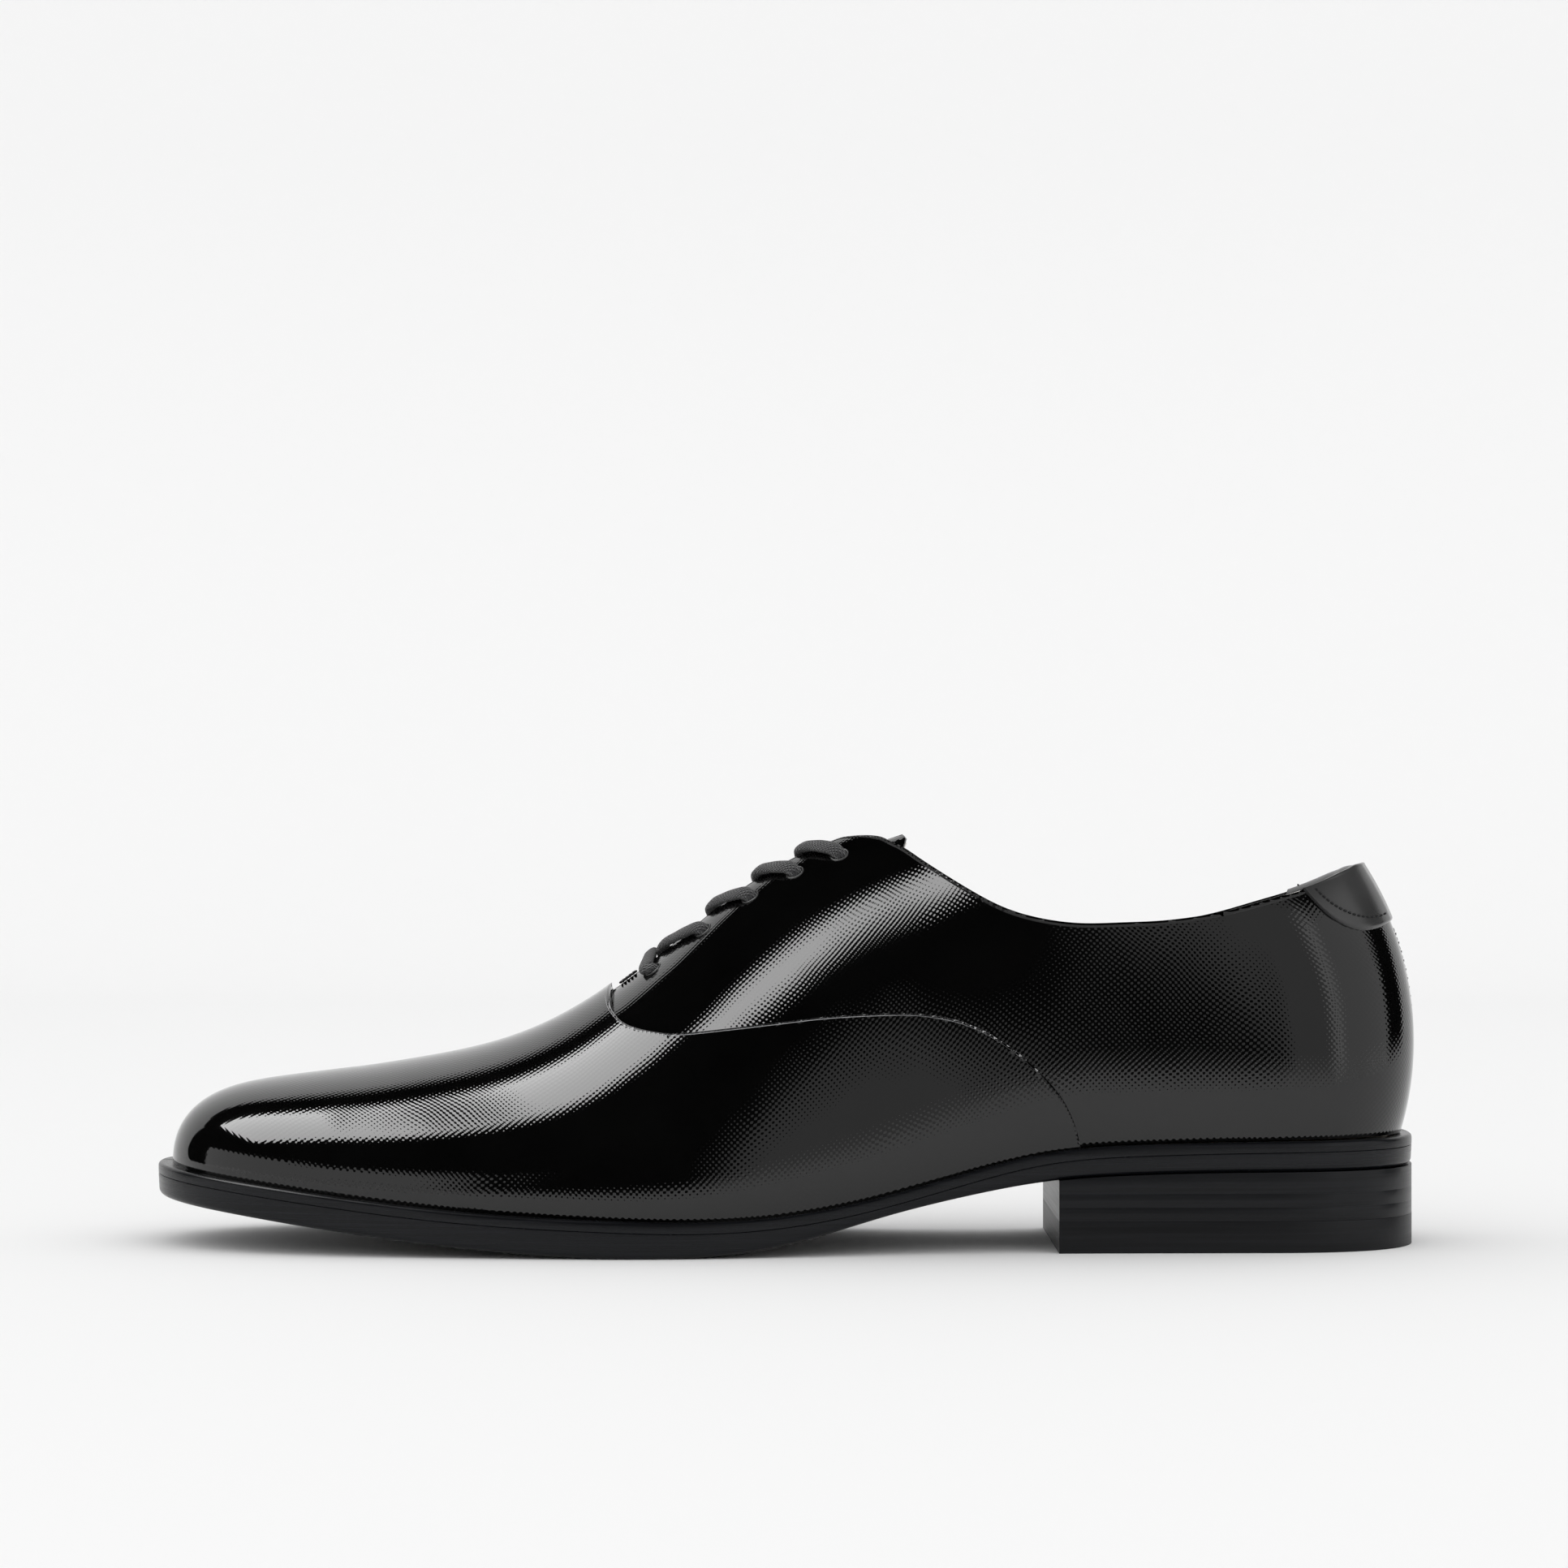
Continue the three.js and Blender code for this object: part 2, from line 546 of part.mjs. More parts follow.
// The free ends go on from the top eyelets, down inside the lining, and lie along the wall.
const TAIL_ROUTE = graded([
  [18.5, 84], [21, 76], [25, 66], [31, 54], [40, 43.5], [54, 37.5], [72, 36.8], [88, 37.2],
]);
const TAIL_DEPTH = LACE_UNDER;
function wallPoint(x, z, side, depth) {
  let low = 0;
  let high = 1;
  const u = alongU(x);
  for (let i = 0; i < 40; i++) {
    const t = (low + high) / 2;
    if (onLast(u, t, side, depth).z < z) low = t;
    else high = t;
  }
  return onLast(u, low, side, depth);
}
function tailPoints(side) {
  const start = spotPoint(EYELET_X[4] + 0.6, EYELET_FROM_CENTRE + 3.4, side, TAIL_DEPTH);
  return [start, ...TAIL_ROUTE.map(([x, z]) => wallPoint(x, z, side, TAIL_DEPTH))];
}
const laceTail = (side) => tube(tailPoints(side), LACE_RADIUS, 8, 26);
const AGLET_LENGTH = 20;
function aglet(side) {
  const route = tailPoints(side);
  const end = route[route.length - 1];
  const way = end.clone().sub(route[route.length - 2]).normalize();
  const start = end.clone().addScaledVector(way, GAP);
  return tube([start, start.clone().addScaledVector(way, AGLET_LENGTH)], 1, 8, 2);
}

// ---- bottom ----
const weltUnder = over(seat, -WELT_THICKNESS);
function welt() {
  const ring = slab([
    [weltUnder, 0.2], [over(seat, -1.4), 0], [over(seat, -0.7), 0.4], [seat, 1.5],
  ]);
  return ring.subtract(plug(LASTING_MARGIN + 1, -6, 3));
}
function outsole() {
  return slab([
    [soleUnder, 2], [over(soleUnder, 1.1), 0.7], [over(weltUnder, -GAP - 0.6), 0.1], [over(weltUnder, -GAP), 0.4],
  ]);
}
function insideSlab(low, high, inset, from = END, to = 1 - END) {
  const depth = (x) => overhang(x) + inset;
  const rings = steps(24).map((s) => {
    const u = from + (to - from) * s;
    const x = alongX(u);
    const side = (which) =>
      [low, high].map((rise) => {
        const p = edgePoint(u, which, overhang(x) - depth(x), 0);
        return p.setZ(seat(onCurve(p.x)) + rise);
      });
    return [...side(-1), ...side(1).reverse()];
  });
  return loft(rings);
}
const INSOLE_INSET = -LINING_IN + 0.9;
const INSOLE_LOW = 3 * GAP + LEATHER;
const insoleBoard = () => insideSlab(INSOLE_LOW, INSOLE_LOW + 2, INSOLE_INSET);
const SOCK_LOW = INSOLE_LOW + 2 + GAP;
const sockLiner = () => insideSlab(SOCK_LOW, SOCK_LOW + 0.9, INSOLE_INSET + 0.4);
const heelPad = () => insideSlab(SOCK_LOW + 0.9 + GAP, SOCK_LOW + 2.9 + GAP, INSOLE_INSET + 4.5).intersect(behind(80 * LONG));

const SHANK_FROM = 2 * LONG;
const SHANK_TO = 88 * LONG;
const SHANK_THICKNESS = 1.3;
const SHANK_DROP = 1.4; // its underside below the seat line
const shankHalf = (s) => 6 - 1.5 * Math.cos(2 * Math.PI * s);
function shank() {
  const rings = steps(14).map((s) => {
    const x = SHANK_FROM + (SHANK_TO - SHANK_FROM) * s;
    const half = shankHalf(s);
    const low = seat(x) - SHANK_DROP;
    const high = low + SHANK_THICKNESS;
    return [[-half, low], [-half, high], [half, high], [half, low]].map(
      ([y, z]) => new THREE.Vector3(x, y + middle(x), z),
    );
  });
  return loft(rings);
}
function bottomFiller() {
  const body = slab([
    [over(weltUnder, 0), LASTING_MARGIN + 1 + GAP], [over(seat, GAP + LEATHER), LASTING_MARGIN + 1 + GAP],
  ]);
  const room = steps(14).map((s) => {
    const x = SHANK_FROM - GAP + (SHANK_TO - SHANK_FROM + 2 * GAP) * s;
    const half = shankHalf(s) + GAP;
    const low = -SHANK_DROP - GAP;
    return [[-half, low], [-half, 8], [half, 8], [half, low]].map(
      ([y, rise]) => new THREE.Vector3(x, y + middle(x), seat(x) + rise),
    );
  });
  return body.subtract(loft(room));
}

// ---- heel ----
const NAILS = graded([[84, -17], [84, 17], [112, -19], [112, 19], [134, 0]]);
const NAIL_RADIUS = 1.2;
const NAIL_TOP = 21.5;
function nail([x, y], grow, low, high) {
  return Manifold.cylinder(high - low, NAIL_RADIUS + grow, NAIL_RADIUS + grow, 10).translate([x, y, low]);
}
function drillNails(body) {
  return NAILS.reduce((left, spot) => left.subtract(nail(spot, GAP, 5, 30)), body);
}
const LIFT_COUNT = 3;
const heelTop = soleUnder(HEEL_BREAST_X);
const HEEL_START_U = alongU(HEEL_BREAST_X - 7);
function heelPiece(low, high, inset) {
  const body = slab([[low, inset], [high, inset]], HEEL_START_U, 1 - END, 16);
  return body.intersect(behind(HEEL_BREAST_X));
}
function heelLift(index) {
  const share = (heelTop - TOP_LIFT) / LIFT_COUNT;
  const low = TOP_LIFT + GAP + share * index;
  const high = index === LIFT_COUNT - 1 ? over(soleUnder, -GAP) : level(low + share - GAP);
  return drillNails(heelPiece(level(low), high, 0.2));
}
const topLift = () => heelPiece(level(0), level(TOP_LIFT), 0);

// ---- assembly ----
for (const [name, body] of [["vamp", vamp()], ["heel_tab", heelTab()]]) add(name, body, BLACK_LEATHER, 0.2);
for (const [name, side] of [["lateral", -1], ["medial", 1]]) {
  add("quarter_" + name, quarter(side), BLACK_LEATHER, 0.2);
  add("facing_stay_" + name, facingStay(side), PALE_LINING, 0.9);
  add("quarter_lining_" + name, quarterLining(side), PALE_LINING, 0.7);
  add("lace_end_" + name, laceTail(side), COTTON, 0.9);
  add("aglet_" + name, aglet(side), SOLE_BLACK, 0.3);
  EYELET_X.forEach((x, i) => {
    const ring = eyeletBar(x, side, 1.9, QUARTER_IN - GAP, LINING_IN + 0.1, 12);
    const bore = eyeletBar(x, side, 1.5, 3, -7, 12);
    add("eyelet_" + name + "_" + (i + 1), ring.subtract(bore), BRASS, 0.4, 1);
  });
}
add("toe_puff", toePuff(), BOARD, 0.9);
add("vamp_interlining", vampInterlining(), PALE_LINING, 0.9);
add("heel_counter", heelCounter(), BOARD, 0.9);
add("vamp_lining", vampLining(), PALE_LINING, 0.7);
add("heel_grip", heelGrip(), PALE_LINING, 0.9);
add("tongue", tongueLayer(TONGUE_OUT, TONGUE_IN, 0), BLACK_LEATHER, 0.3);
add("tongue_lining", tongueLayer(TONGUE_IN - GAP, TONGUE_IN - GAP - 0.7, 0.6), PALE_LINING, 0.8);
add("lace", laceStrand(-1).add(laceStrand(1)), COTTON, 0.9);
add("welt", welt(), SOLE_BLACK, 0.4);
add("outsole", drillNails(outsole()), SOLE_BLACK, 0.5);
add("insole_board", insoleBoard(), BOARD, 0.8);
add("sock_liner", sockLiner(), PALE_LINING, 0.7);
add("heel_pad", heelPad(), PALE_LINING, 0.8);
add("bottom_filler", bottomFiller(), CORK, 0.9);
add("shank", shank(), STEEL, 0.4, 1);
for (let i = 0; i < LIFT_COUNT; i++) add("heel_lift_" + (i + 1), heelLift(i), SOLE_BLACK, 0.5);
add("top_lift", topLift(), SOLE_BLACK, 0.7);
NAILS.forEach((spot, i) => add("heel_nail_" + (i + 1), nail(spot, 0, TOP_LIFT + 2 * GAP, NAIL_TOP), STEEL, 0.4, 1));

const box = new THREE.Box3().setFromObject(group);
group.position.set(-(box.min.x + box.max.x) / 2, -(box.min.y + box.max.y) / 2, -box.min.z);

export default group;
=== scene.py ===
"""A black leather oxford shoe in a plain studio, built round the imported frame.

Lengths inside the helpers are in millimetres in the last's own axes; build() moves them to the frame.
"""

import json
import math

import bmesh
import bpy
import numpy as np
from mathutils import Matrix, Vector


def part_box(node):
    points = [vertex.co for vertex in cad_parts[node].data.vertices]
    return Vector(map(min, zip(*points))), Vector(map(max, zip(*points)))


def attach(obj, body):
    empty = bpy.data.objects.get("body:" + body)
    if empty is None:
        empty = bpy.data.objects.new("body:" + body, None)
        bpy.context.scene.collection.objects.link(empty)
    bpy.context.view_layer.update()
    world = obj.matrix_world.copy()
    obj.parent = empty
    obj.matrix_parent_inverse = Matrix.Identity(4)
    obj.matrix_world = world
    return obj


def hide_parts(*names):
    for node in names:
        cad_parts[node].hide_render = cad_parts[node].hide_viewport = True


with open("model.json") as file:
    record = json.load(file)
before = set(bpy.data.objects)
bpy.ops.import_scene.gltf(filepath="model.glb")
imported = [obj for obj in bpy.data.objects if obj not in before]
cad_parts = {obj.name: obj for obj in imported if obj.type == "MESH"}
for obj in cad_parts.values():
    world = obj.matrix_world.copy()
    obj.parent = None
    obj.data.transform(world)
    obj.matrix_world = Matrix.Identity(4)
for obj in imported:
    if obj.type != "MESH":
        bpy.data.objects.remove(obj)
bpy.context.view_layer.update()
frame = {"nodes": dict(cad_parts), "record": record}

MM = 0.001

# ---- driving sizes, as in the CAD, in mm ----
TOE_X = -148.7
HEEL_X = 150.9
LEATHER = 1.2
GAP = 0.3
WELT_THICKNESS = 2.6
HEEL_BREAST_X = 65.0
TOP_LIFT = 7.5
FACING_HALF_GAP = 4.0
EYELET_FROM_CENTRE = 12.5
EYELET_X = [-33.4, -20.6, -8.2, 3.9, 16.0]
QUARTER_OUT = -1.5
LINING_OUT = -3.9
LINING_IN = -4.7
LACE_RADIUS = 1.1
LACE_UNDER = LINING_IN - 0.6 - LACE_RADIUS
TONGUE_OUT = LACE_UNDER - LACE_RADIUS - 0.45
SIDES = {"lateral": -1, "medial": 1}

# Where the last's origin stands in the frame, read from pieces whose place in it is known.
lift_low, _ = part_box("top_lift")
nail_low, nail_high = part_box("heel_nail_5")
ORIGIN = np.array([lift_low.x / MM - HEEL_BREAST_X, (nail_low.y + nail_high.y) / 2 / MM, lift_low.z / MM])


def spot(x, y, z):
    """A point of the last's axes as a Vector in the frame."""
    return Vector(((np.array([x, y, z]) + ORIGIN) * MM).tolist())


# ---- curves and the last ----
class Spline:
    """A natural cubic through points."""

    def __init__(self, points):
        self.x, self.y = (np.array(c, float) for c in zip(*points))
        gap = np.diff(self.x)
        count = len(self.x)
        system = np.eye(count)
        right = np.zeros(count)
        for i in range(1, count - 1):
            system[i, i - 1 : i + 2] = gap[i - 1], 2 * (gap[i - 1] + gap[i]), gap[i]
            rise = (self.y[i + 1] - self.y[i]) / gap[i] - (self.y[i] - self.y[i - 1]) / gap[i - 1]
            right[i] = 6 * rise
        self.second = np.linalg.solve(system, right)
        self.gap = gap

    def __call__(self, x):
        x = np.asarray(x, float)
        i = np.clip(np.searchsorted(self.x, x) - 1, 0, len(self.gap) - 1)
        h = self.gap[i]
        a = (self.x[i + 1] - x) / h
        b = (x - self.x[i]) / h
        curve = (a**3 - a) * self.second[i] + (b**3 - b) * self.second[i + 1]
        return a * self.y[i] + b * self.y[i + 1] + curve * h * h / 6


seat_curve = Spline(
    [(-152, 19.4), (-120, 15.7), (-80, 11.2), (-40, 8.9), (-10, 8.8), (15, 12)]
    + [(40, 18.3), (62, 23.6), (85, 25.5), (115, 26.2), (152, 26.5)]
)
sole_curve = Spline(
    [(-152, 11.6), (-126, 8.5), (-105, 5.7), (-86, 3.4), (-60, 1), (-30, 0), (-12, 0.9)]
    + [(3.4, 3.5), (23, 8.9), (42, 13.4), (62, 16.9), (85, 18.5), (110, 19), (152, 19.2)]
)
middle_curve = Spline([(-152, 4), (-90, 4), (-60, 3.6), (-20, 2.2), (20, 1), (60, 0.2), (152, 0)])
overhang = Spline([(-149, 3.4), (-60, 3.2), (20, 2.2), (90, 1.7), (151, 1.2)])


def kept(curve):
    """A curve held at its end values past the ends of the shoe."""
    return lambda x: curve(np.clip(x, -152, 152))


seat = kept(seat_curve)
sole_under = kept(sole_curve)
middle = kept(middle_curve)

SECTION_KEYS = (
    "x foot_out foot_in bulge_out bulge_in wall_high shoulder_out shoulder_in shoulder_high "
    "wall_shift shoulder_shift ridge_shift ridge_high"
).split()
SECTIONS = [
    (-149, 37, 34, 1, 1, 16.5, 22, 20, 25.8, 0, 0, 0, 25.8),
    (-120, 41, 37, 2, 2, 16, 23, 21, 25, 0, 0, 0, 25.3),
    (-90, 47, 42, 3, 3, 20, 25, 22, 31.6, 0, 0, 0, 31.9),
    (-60, 50.5, 44.5, 4, 4, 24, 26, 22, 42.2, 0, 0, 0, 42.2),
    (-35, 51, 42, 4, 5, 28, 26, 22, 58.5, 0, -0.5, -0.5, 58.5),
    (-10, 48, 35.5, 5, 8, 32, 25, 22, 77.5, -1, -2, -2, 77.5),
    (15, 42.5, 29, 6, 12, 35, 24, 22, 86.5, -1, -4, -5, 86.5),
    (40, 37.2, 27, 6, 11, 34, 25, 24, 86.5, -1, -5, -9, 87.5),
    (65, 34, 29, 5.5, 8, 32, 28, 27, 84, 0, -5, -14, 88),
    (90, 33, 31, 5, 6, 30, 29, 28, 79, 1, -3, -19, 88),
    (120, 32.5, 31.5, 5, 5, 27, 29, 28, 70, 3, 0, -25, 88),
    (151, 31.5, 31, 5, 5, 22, 28, 28, 58, 6.8, 5.6, -28, 86),
]
section = {
    key: Spline([(row[0], row[column]) for row in SECTIONS]) for column, key in enumerate(SECTION_KEYS)
}


def toe_round(x):
    reach = np.clip((TOE_X + 44 - x) / 44, 0, 1)
    return (1 - reach**2.3) ** (1 / 2.3)


def heel_round(x):
    reach = np.clip((x - HEEL_X + 34) / 34, 0, 1)
    return (1 - reach**2.4) ** (1 / 2.4)


def along_x(u):
    return TOE_X + (HEEL_X - TOE_X) * (1 - np.cos(np.pi * np.clip(u, 0, 1))) / 2


def along_u(x):
    return np.arccos(np.clip(1 - 2 * (x - TOE_X) / (HEEL_X - TOE_X), -1, 1)) / np.pi


def last_point(u, t, side):
    """Points of the last: u runs from toe to heel, t from the feather edge (0) to the ridge (1)."""
    u, t = np.broadcast_arrays(np.asarray(u, float), np.asarray(t, float))
    x = along_x(u)
    toe = toe_round(x)
    width = side * toe * heel_round(x)
    which = "_out" if side < 0 else "_in"
    foot = section["foot" + which](x)
    y = middle(x)
    low = seat(x)
    rails = [
        (x, y + foot * width, low),
        (
            x + section["wall_shift"](x),
            y + (foot + section["bulge" + which](x)) * width,
            low + section["wall_high"](x) * toe,
        ),
        (
            x + section["shoulder_shift"](x),
            y + section["shoulder" + which](x) * width,
            low + section["shoulder_high"](x) * toe,
        ),
        (x + section["ridge_shift"](x), y, low + section["ridge_high"](x) * toe),
    ]
    s = 1 - t
    weights = [s**3, 3 * s * s * t, 3 * s * t * t, t**3]
    return np.stack([sum(w * rail[axis] for w, rail in zip(weights, rails)) for axis in range(3)], -1)


def unit(v):
    return v / np.maximum(np.linalg.norm(v, axis=-1, keepdims=True), 1e-12)


def last_normal(u, t, side):
    step = 1e-4
    u, t = np.broadcast_arrays(np.asarray(u, float), np.asarray(t, float))
    inner = np.clip(u, 4 * step, 1 - 4 * step)
    above = last_point(inner, np.minimum(1, t + step), side)
    below = last_point(inner, np.maximum(0, t - step), side)
    across = above - below
    along = last_point(inner + step, t, side) - last_point(inner - step, t, side)
    normal = unit(-side * np.cross(along, across))
    normal[..., 1] = np.where((t > 1 - 1e-9) | (u > 1 - 1e-9) | (u < 1e-9), 0, normal[..., 1])
    return unit(normal)


def on_last(u, t, side, depth):
    return last_point(u, t, side) + last_normal(u, t, side) * np.asarray(depth, float)[..., None]


def settle(wrong, low, high):
    """The value, for each element, where wrong() turns from true to false between low and high."""
    for _ in range(26):
        half = (low + high) / 2
        yes = wrong(half)
        low = np.where(yes, half, low)
        high = np.where(yes, high, half)
    return (low + high) / 2


def at_height(u, z, side):
    u, z = np.broadcast_arrays(np.asarray(u, float), np.asarray(z, float))
    return settle(lambda t: last_point(u, t, side)[..., 2] < z, np.zeros(u.shape), np.ones(u.shape))


def at_width(u, out, side):
    """t where the last is that far from its middle line, above its widest part."""
    u, out = np.broadcast_arrays(np.asarray(u, float), np.asarray(out, float))

    def wider(t):
        p = last_point(u, t, side)
        return np.abs(p[..., 1] - middle(p[..., 0])) > out

    return settle(wider, np.full(u.shape, 0.45), np.ones(u.shape))


def locate(x, z, side):
    """(u, t) of the wall point seen from the side at x, z."""
    x, z = np.asarray(x, float), np.asarray(z, float)
    guess = x.copy()
    for _ in range(16):
        u = along_u(guess)
        t = at_height(u, z, side)
        guess = np.clip(guess + 0.8 * (x - last_point(u, t, side)[..., 0]), TOE_X, HEEL_X)
    return u, t


def even(points, count):
    """Points at equal spacing along a polyline smoothed by a Catmull-Rom curve."""
    p = np.array(points, float)
    padded = np.vstack([2 * p[0] - p[1], p, 2 * p[-1] - p[-2]])
    s = np.linspace(0, 1, 24, endpoint=False)[:, None]
    fine = []
    for a, b, c, d in zip(padded, padded[1:], padded[2:], padded[3:]):
        square = 2 * a - 5 * b + 4 * c - d
        cube = 3 * b - a - 3 * c + d
        fine.append(0.5 * (2 * b + (c - a) * s + square * s**2 + cube * s**3))
    fine = np.vstack([*fine, p[-1:]])
    run = np.concatenate([[0], np.cumsum(np.linalg.norm(np.diff(fine, axis=0), axis=1))])
    where = np.linspace(0, run[-1], count)
    return np.stack([np.interp(where, run, fine[:, i]) for i in range(p.shape[1])], -1)


# ---- outlines seen from the side ----
SEAM = [
    (-42.8, 60), (-41.4, 56.9), (-37.6, 53.8), (-30.7, 52.2), (-24.3, 52), (-13.3, 53.2), (-2.5, 54.5),
    (11.9, 56.1), (28.8, 56.7), (37.3, 55.8), (42.8, 54.4), (49.1, 51.5), (56.9, 46), (64.6, 38),
    (68.4, 31), (70.3, 24),
]
TOPLINE = Spline(
    [(28.5, 96.6), (33.7, 93), (43, 87), (52.3, 82), (61.5, 79.3), (70.8, 78.2), (80, 78.4)]
    + [(89.3, 78.8), (98.5, 79.9), (107.8, 81.7), (117, 84.2), (125.7, 86.6), (138.8, 91.2), (160, 98)]
)


TOPLINE_START = 28.5
LEVEL_BEHIND = 150.0
MEDIAL_DROP = 2.4


def topline_at(x, side):
    share = np.clip((x - TOPLINE_START) / (LEVEL_BEHIND - TOPLINE_START), 0, 1)
    return TOPLINE(x) - (MEDIAL_DROP * np.sin(np.pi * share) if side > 0 else 0)


# ---- meshes ----
def build(name, points, faces, material, body="shoe", uv=None, smooth=True):
    """A mesh object from points in mm, riding on a body. uv holds one (u, v) for each point, in mm."""
    mesh = bpy.data.meshes.new(name)
    shifted = (np.asarray(points, float).reshape(-1, 3) + ORIGIN) * MM
    mesh.from_pydata(shifted.tolist(), [], [tuple(int(i) for i in f) for f in faces])
    if uv is not None:
        loops = np.zeros(len(mesh.loops), int)
        mesh.loops.foreach_get("vertex_index", loops)
        layer = mesh.uv_layers.new(name="UVMap")
        layer.data.foreach_set("uv", np.asarray(uv, float).reshape(-1, 2)[loops].ravel())
    mesh.polygons.foreach_set("use_smooth", [smooth] * len(mesh.polygons))
    mesh.materials.append(material)
    mesh.validate()
    obj = bpy.data.objects.new(name, mesh)
    bpy.context.scene.collection.objects.link(obj)
    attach(obj, body)
    return obj


def grid_faces(rows, columns, start=0, turn=False, ring=False):
    faces = []
    for i in range(rows - 1):
        for j in range(columns if ring else columns - 1):
            a = start + i * columns + j
            b = start + i * columns + (j + 1) % columns
            quad = (a, b, b + columns, a + columns)
            faces.append(quad[::-1] if turn else quad)
    return faces


def weld(obj, distance=2e-5):
    mesh = bmesh.new()
    mesh.from_mesh(obj.data)
    bmesh.ops.remove_doubles(mesh, verts=mesh.verts, dist=distance)
    bmesh.ops.recalc_face_normals(mesh, faces=mesh.faces)
    mesh.to_mesh(obj.data)
    mesh.free()


def grids(name, sheets, material, body="shoe", uvs=None):
    """One object from several (rows, columns, 3) grids, welded where they meet."""
    points, faces, flat = [], [], []
    for i, sheet in enumerate(sheets):
        rows, columns, _ = sheet.shape
        faces += grid_faces(rows, columns, start=sum(len(p) for p in points))
        points.append(sheet.reshape(-1, 3))
        if uvs:
            flat.append(uvs[i].reshape(-1, 2))
    obj = build(name, np.vstack(points), faces, material, body, np.vstack(flat) if uvs else None)
    weld(obj)
    return obj


def lengths(sheet, axis):
    """Distance run along an axis of a grid, from its first row."""
    steps = np.linalg.norm(np.diff(sheet, axis=axis), axis=-1)
    first = np.zeros_like(np.take(steps, [0], axis=axis))
    return np.concatenate([first, np.cumsum(steps, axis=axis)], axis=axis)


def skin_uv(u, t, side):
    """Flat coordinates in mm for the grain: across along the shoe, up the wall."""
    base = last_point(u, t, side)
    waist = last_point(u[:, :1], np.full_like(u[:, :1], 0.45), side)
    across = lengths(waist, 0) + 0 * u
    feather = last_point(u[:, :1], np.zeros_like(u[:, :1]), side)
    start = np.linalg.norm(base[:, :1] - feather, axis=-1)
    return np.stack([across, lengths(base, 1) + start], -1)


def rimmed(u, t, side, out, profile, under):
    """A leather sheet over (u, t) whose last column is a free edge.

    profile is a list of (reach past the edge, depth below the face); under is how far the
    turned-in back runs down inside, in steps of t.
    """
    face = on_last(u, t, side, np.full(u.shape, out))
    edge_u, edge_t = u[:, -1], t[:, -1]
    normal = last_normal(edge_u, edge_t, side)
    along = unit(np.gradient(face[:, -1], axis=0))
    away = unit(np.cross(along, normal))
    upward = last_point(edge_u, edge_t, side) - last_point(edge_u, edge_t - 0.01, side)
    away *= np.sign(np.sum(away * upward, -1, keepdims=True))
    edge = face[:, -1].copy()
    face[:, -1] += away * profile[0][0]
    rim = [edge + away * reach - normal * depth for reach, depth in profile[1:]]
    deep = np.full(edge_u.shape, out - profile[-1][1])
    back = [on_last(edge_u, np.maximum(0, edge_t - d), side, deep) for d in under]
    return np.concatenate([face, np.stack(rim + back, 1)], 1)


def rim_uv(uv, extra):
    last = uv[:, -1:]
    step = np.stack([np.zeros(extra), 0.3 * np.arange(1, extra + 1)], -1)
    return np.concatenate([uv, last + step], 1)


def round_rim(thickness, steps=7):
    angles = np.linspace(math.pi / 2, -math.pi / 2, steps)
    r = thickness / 2
    return [(r * math.cos(a) - r, r - r * math.sin(a)) for a in angles]


CUT_RIM = [(-0.6, 0), (-0.3, 0.13), (0, 0.34), (0.04, 0.6), (0, LEATHER + 0.2)]

# ---- materials ----


class Nodes:
    """Short names for making a node tree."""

    def __init__(self, name):
        self.material = bpy.data.materials.new(name)
        self.material.use_nodes = True
        self.tree = self.material.node_tree
        self.tree.nodes.clear()
        self.shader = self.add("ShaderNodeBsdfPrincipled")
        self.output = self.add("ShaderNodeOutputMaterial")
        self.link(self.shader.outputs[0], self.output.inputs[0])

    def add(self, kind, **settings):
        node = self.tree.nodes.new(kind)
        for key, value in settings.items():
            setattr(node, key, value)
        return node

    def link(self, source, target):
        self.tree.links.new(source, target)

    def put(self, node, **values):
        for key, value in values.items():
            node.inputs[key.replace("_", " ")].default_value = value

    def math(self, operation, a, b=0.0, clamp=False):
        node = self.add("ShaderNodeMath", operation=operation, use_clamp=clamp)
        for i, value in enumerate((a, b)):
            if isinstance(value, (int, float)):
                node.inputs[i].default_value = value
            else:
                self.link(value, node.inputs[i])
        return node.outputs[0]

    def noise(self, scale, detail=3.0, vector=None):
        node = self.add("ShaderNodeTexNoise")
        self.put(node, Scale=scale, Detail=detail)
        if vector is not None:
            self.link(vector, node.inputs["Vector"])
        return node.outputs["Fac"]

    def place(self):
        """Position in metres on the object."""
        return self.add("ShaderNodeTexCoord").outputs["Object"]

    def ramp(self, value, low, high, first=(0, 0, 0, 1), last=(1, 1, 1, 1)):
        node = self.add("ShaderNodeValToRGB")
        self.link(value, node.inputs[0])
        node.color_ramp.elements[0].position = low
        node.color_ramp.elements[1].position = high
        node.color_ramp.elements[0].color = first
        node.color_ramp.elements[1].color = last
        return node.outputs[0]

    def colour(self, value, first, last):
        """The base colour, varied between two by a value from 0 to 1."""
        self.link(self.ramp(value, 0.3, 0.7, (*first, 1), (*last, 1)), self.shader.inputs["Base Color"])

    def rough(self, value, low, high):
        node = self.add("ShaderNodeMapRange")
        self.link(value, node.inputs[0])
        self.put(node, To_Min=low, To_Max=high)
        self.link(node.outputs[0], self.shader.inputs["Roughness"])

    def bump(self, height, distance, strength=1.0, coat=False):
        node = self.add("ShaderNodeBump")
        self.put(node, Strength=strength, Distance=distance)
        self.link(height, node.inputs["Height"])
        self.link(node.outputs[0], self.shader.inputs["Normal"])
        if coat:
            self.link(node.outputs[0], self.shader.inputs["Coat Normal"])
        return node


GRAIN_PITCH = 0.78
GRAIN_ROW = 0.72


